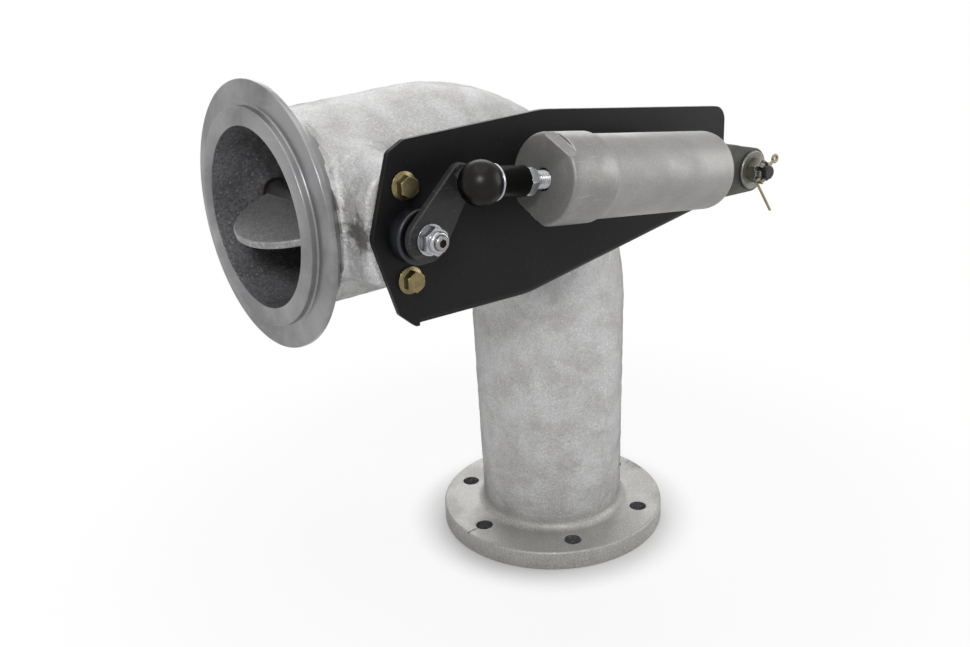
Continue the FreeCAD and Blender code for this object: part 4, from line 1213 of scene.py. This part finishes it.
@dataclass
class Studio:
    """The camera at the photographed angle, the lights, the floor and the white surroundings."""

    place: Triple = (-0.45349, -0.50587, 0.40538)
    yaw: float = 0.666
    pitch: float = 0.359
    roll: float = -0.047
    lens: float = 38.39
    sensor_width: float = 36.0
    floor_size: float = 12.0
    ambient: float = 0.16
    floor_colour: float = 0.86
    floor_glow: float = 0.88
    glow_near: float = 0.15
    glow_far: float = 0.40
    flange_shadow: Pair = (0.072, 0.110)

    def camera(self) -> None:
        """Create the camera and make it the scene's own."""
        ahead = Vector((math.sin(self.yaw) * math.cos(self.pitch),
                        math.cos(self.yaw) * math.cos(self.pitch), -math.sin(self.pitch)))
        level = Vector((math.cos(self.yaw), -math.sin(self.yaw), 0.0))
        upright = level.cross(ahead)
        right = level * math.cos(self.roll) + upright * math.sin(self.roll)
        up = upright * math.cos(self.roll) - level * math.sin(self.roll)
        columns = (right, up, -ahead)
        data = bpy.data.cameras.new("camera")
        data.lens = self.lens
        data.sensor_width = self.sensor_width
        camera = linked("camera", data)
        camera.matrix_world = Matrix([[c[i] for c in columns] + [self.place[i]]
                                      for i in range(3)] + [[0, 0, 0, 1]])
        bpy.context.scene.camera = camera

    def lamp(self, name: str, place: Triple, target: Triple, size: float, power: float) -> None:
        """Add one soft square light.

        Args:
            name: The lamp's name.
            place: Where it stands, in metres.
            target: The point that it faces.
            size: The side of the square, in metres.
            power: Its power in watts.
        """
        data = bpy.data.lights.new(name, "AREA")
        data.shape = "SQUARE"
        data.size = size
        data.energy = power
        lamp = linked(name, data)
        lamp.location = place
        lamp.rotation_euler = (Vector(target) - Vector(place)).to_track_quat("-Z", "Y").to_euler()

    def surroundings(self) -> None:
        """Make the world white where it is seen or mirrored, and a plain grey light elsewhere."""
        world = bpy.data.worlds.new("studio")
        bpy.context.scene.world = world
        world.use_nodes = True
        w = Wiring(world.node_tree)
        rays = w.add("ShaderNodeLightPath")
        seen = w.math("MAXIMUM", rays.outputs["Is Camera Ray"], w.math(
            "MAXIMUM", rays.outputs["Is Glossy Ray"], rays.outputs["Is Transmission Ray"]))
        strength = w.ramp(seen, 0.0, 1.0, self.ambient, 1.0)
        glow = w.add("ShaderNodeBackground", {"Color": WHITE, "Strength": strength})
        w.add("ShaderNodeOutputWorld", {"Surface": glow.outputs[0]})

    def floor(self) -> None:
        """Lay the pale floor that the valve stands on; it fades to plain white further out."""
        half = self.floor_size / 2
        mesh = bpy.data.meshes.new("floor")
        mesh.from_pydata([(-half, -half, 0), (half, -half, 0), (half, half, 0), (-half, half, 0)],
                         [], [(0, 1, 2, 3)])
        floor = linked("floor", mesh)
        material = bpy.data.materials.new("floor")
        material.use_nodes = True
        w = Wiring(material.node_tree)
        tone = self.floor_colour
        matt = w.add("ShaderNodeBsdfDiffuse", {"Color": (tone, tone, tone, 1.0)})
        glow = w.add("ShaderNodeEmission", {"Color": WHITE, "Strength": 1.0})
        rays = w.add("ShaderNodeLightPath")
        seen = w.math("MAXIMUM", rays.outputs["Is Camera Ray"], rays.outputs["Is Glossy Ray"])
        away = w.vector("LENGTH", w.add("ShaderNodeTexCoord").outputs["Object"], output="Value")
        glowing = w.ramp(away, self.glow_near, self.glow_far, self.floor_glow, 1.0)
        share = w.times(w.ramp(away, *self.flange_shadow), glowing)
        mixed = w.add("ShaderNodeMixShader", {0: w.times(seen, share),
                                              1: matt.outputs[0], 2: glow.outputs[0]})
        w.add("ShaderNodeOutputMaterial", {"Surface": mixed.outputs[0]})
        mesh.materials.append(material)

    def build(self) -> None:
        """Set up the whole studio."""
        bpy.context.scene.view_settings.view_transform = "Standard"
        self.camera()
        middle = (-0.05, -0.05, 0.2)
        self.lamp("top", (-0.1, -0.1, 2.2), middle, 1.8, 11.0)
        self.lamp("key", (-1.2, -1.3, 1.3), middle, 0.5, 16.0)
        self.lamp("back", (0.9, 1.2, 1.0), middle, 1.2, 10.0)
        self.lamp("fill", (1.6, -1.0, 0.6), middle, 1.2, 12.0)
        self.surroundings()
        self.floor()


FINISHED: dict[Finish, str] = {
    Finish.CASTING: "valve_body",
    Finish.BRONZE: "front_bush rear_bush rod_guide_bush",
    Finish.BLACK_STEEL: "rear_boss_plug fork_screw pivot_bolt",
    Finish.SHAFT: "valve_shaft disc_screws",
    Finish.DISC: "butterfly_disc",
    Finish.DARK_STEEL: "shaft_collar",
    Finish.RUBBER: "shaft_seal piston_cup rod_seal cap_seal",
    Finish.BLACK_PAINT: "bracket_plate",
    Finish.YELLOW_ZINC: "bracket_bolts",
    Finish.PHOSPHATE: "lever stud_shank ball_stud",
    Finish.BRIGHT_ZINC: "shaft_washer shaft_nut socket_clip piston_rod rod_lock_nut piston_nut",
    Finish.GUNMETAL: "ball_socket",
    Finish.ALUMINIUM: "piston cylinder_barrel",
    Finish.SPRING: "return_spring",
    Finish.CAP: "front_cap",
    Finish.FORK: "rear_fork",
    Finish.OLIVE_ZINC: "pivot_back_washer pivot_spacer fork_sleeve pivot_washer pivot_castle_nut",
    Finish.COTTER: "cotter_pin",
}
NODE_FINISHES = {node: finish for finish, names in FINISHED.items() for node in names.split()}


def main() -> None:
    """Build the studio and the valve, and report each piece."""
    logging.basicConfig(level=logging.INFO, format="%(message)s")
    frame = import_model()
    Studio().build()
    shop = Paintshop()
    for name, node in frame["nodes"].items():
        shop.dress(node, NODE_FINISHES[name])
        LOG.info("%s: %s", name, NODE_FINISHES[name].value)
    work = Workshop(shop, frame["nodes"])
    CastElbow(work).build()
    RodEnd(work).build()


if __name__ == "__main__":
    main()
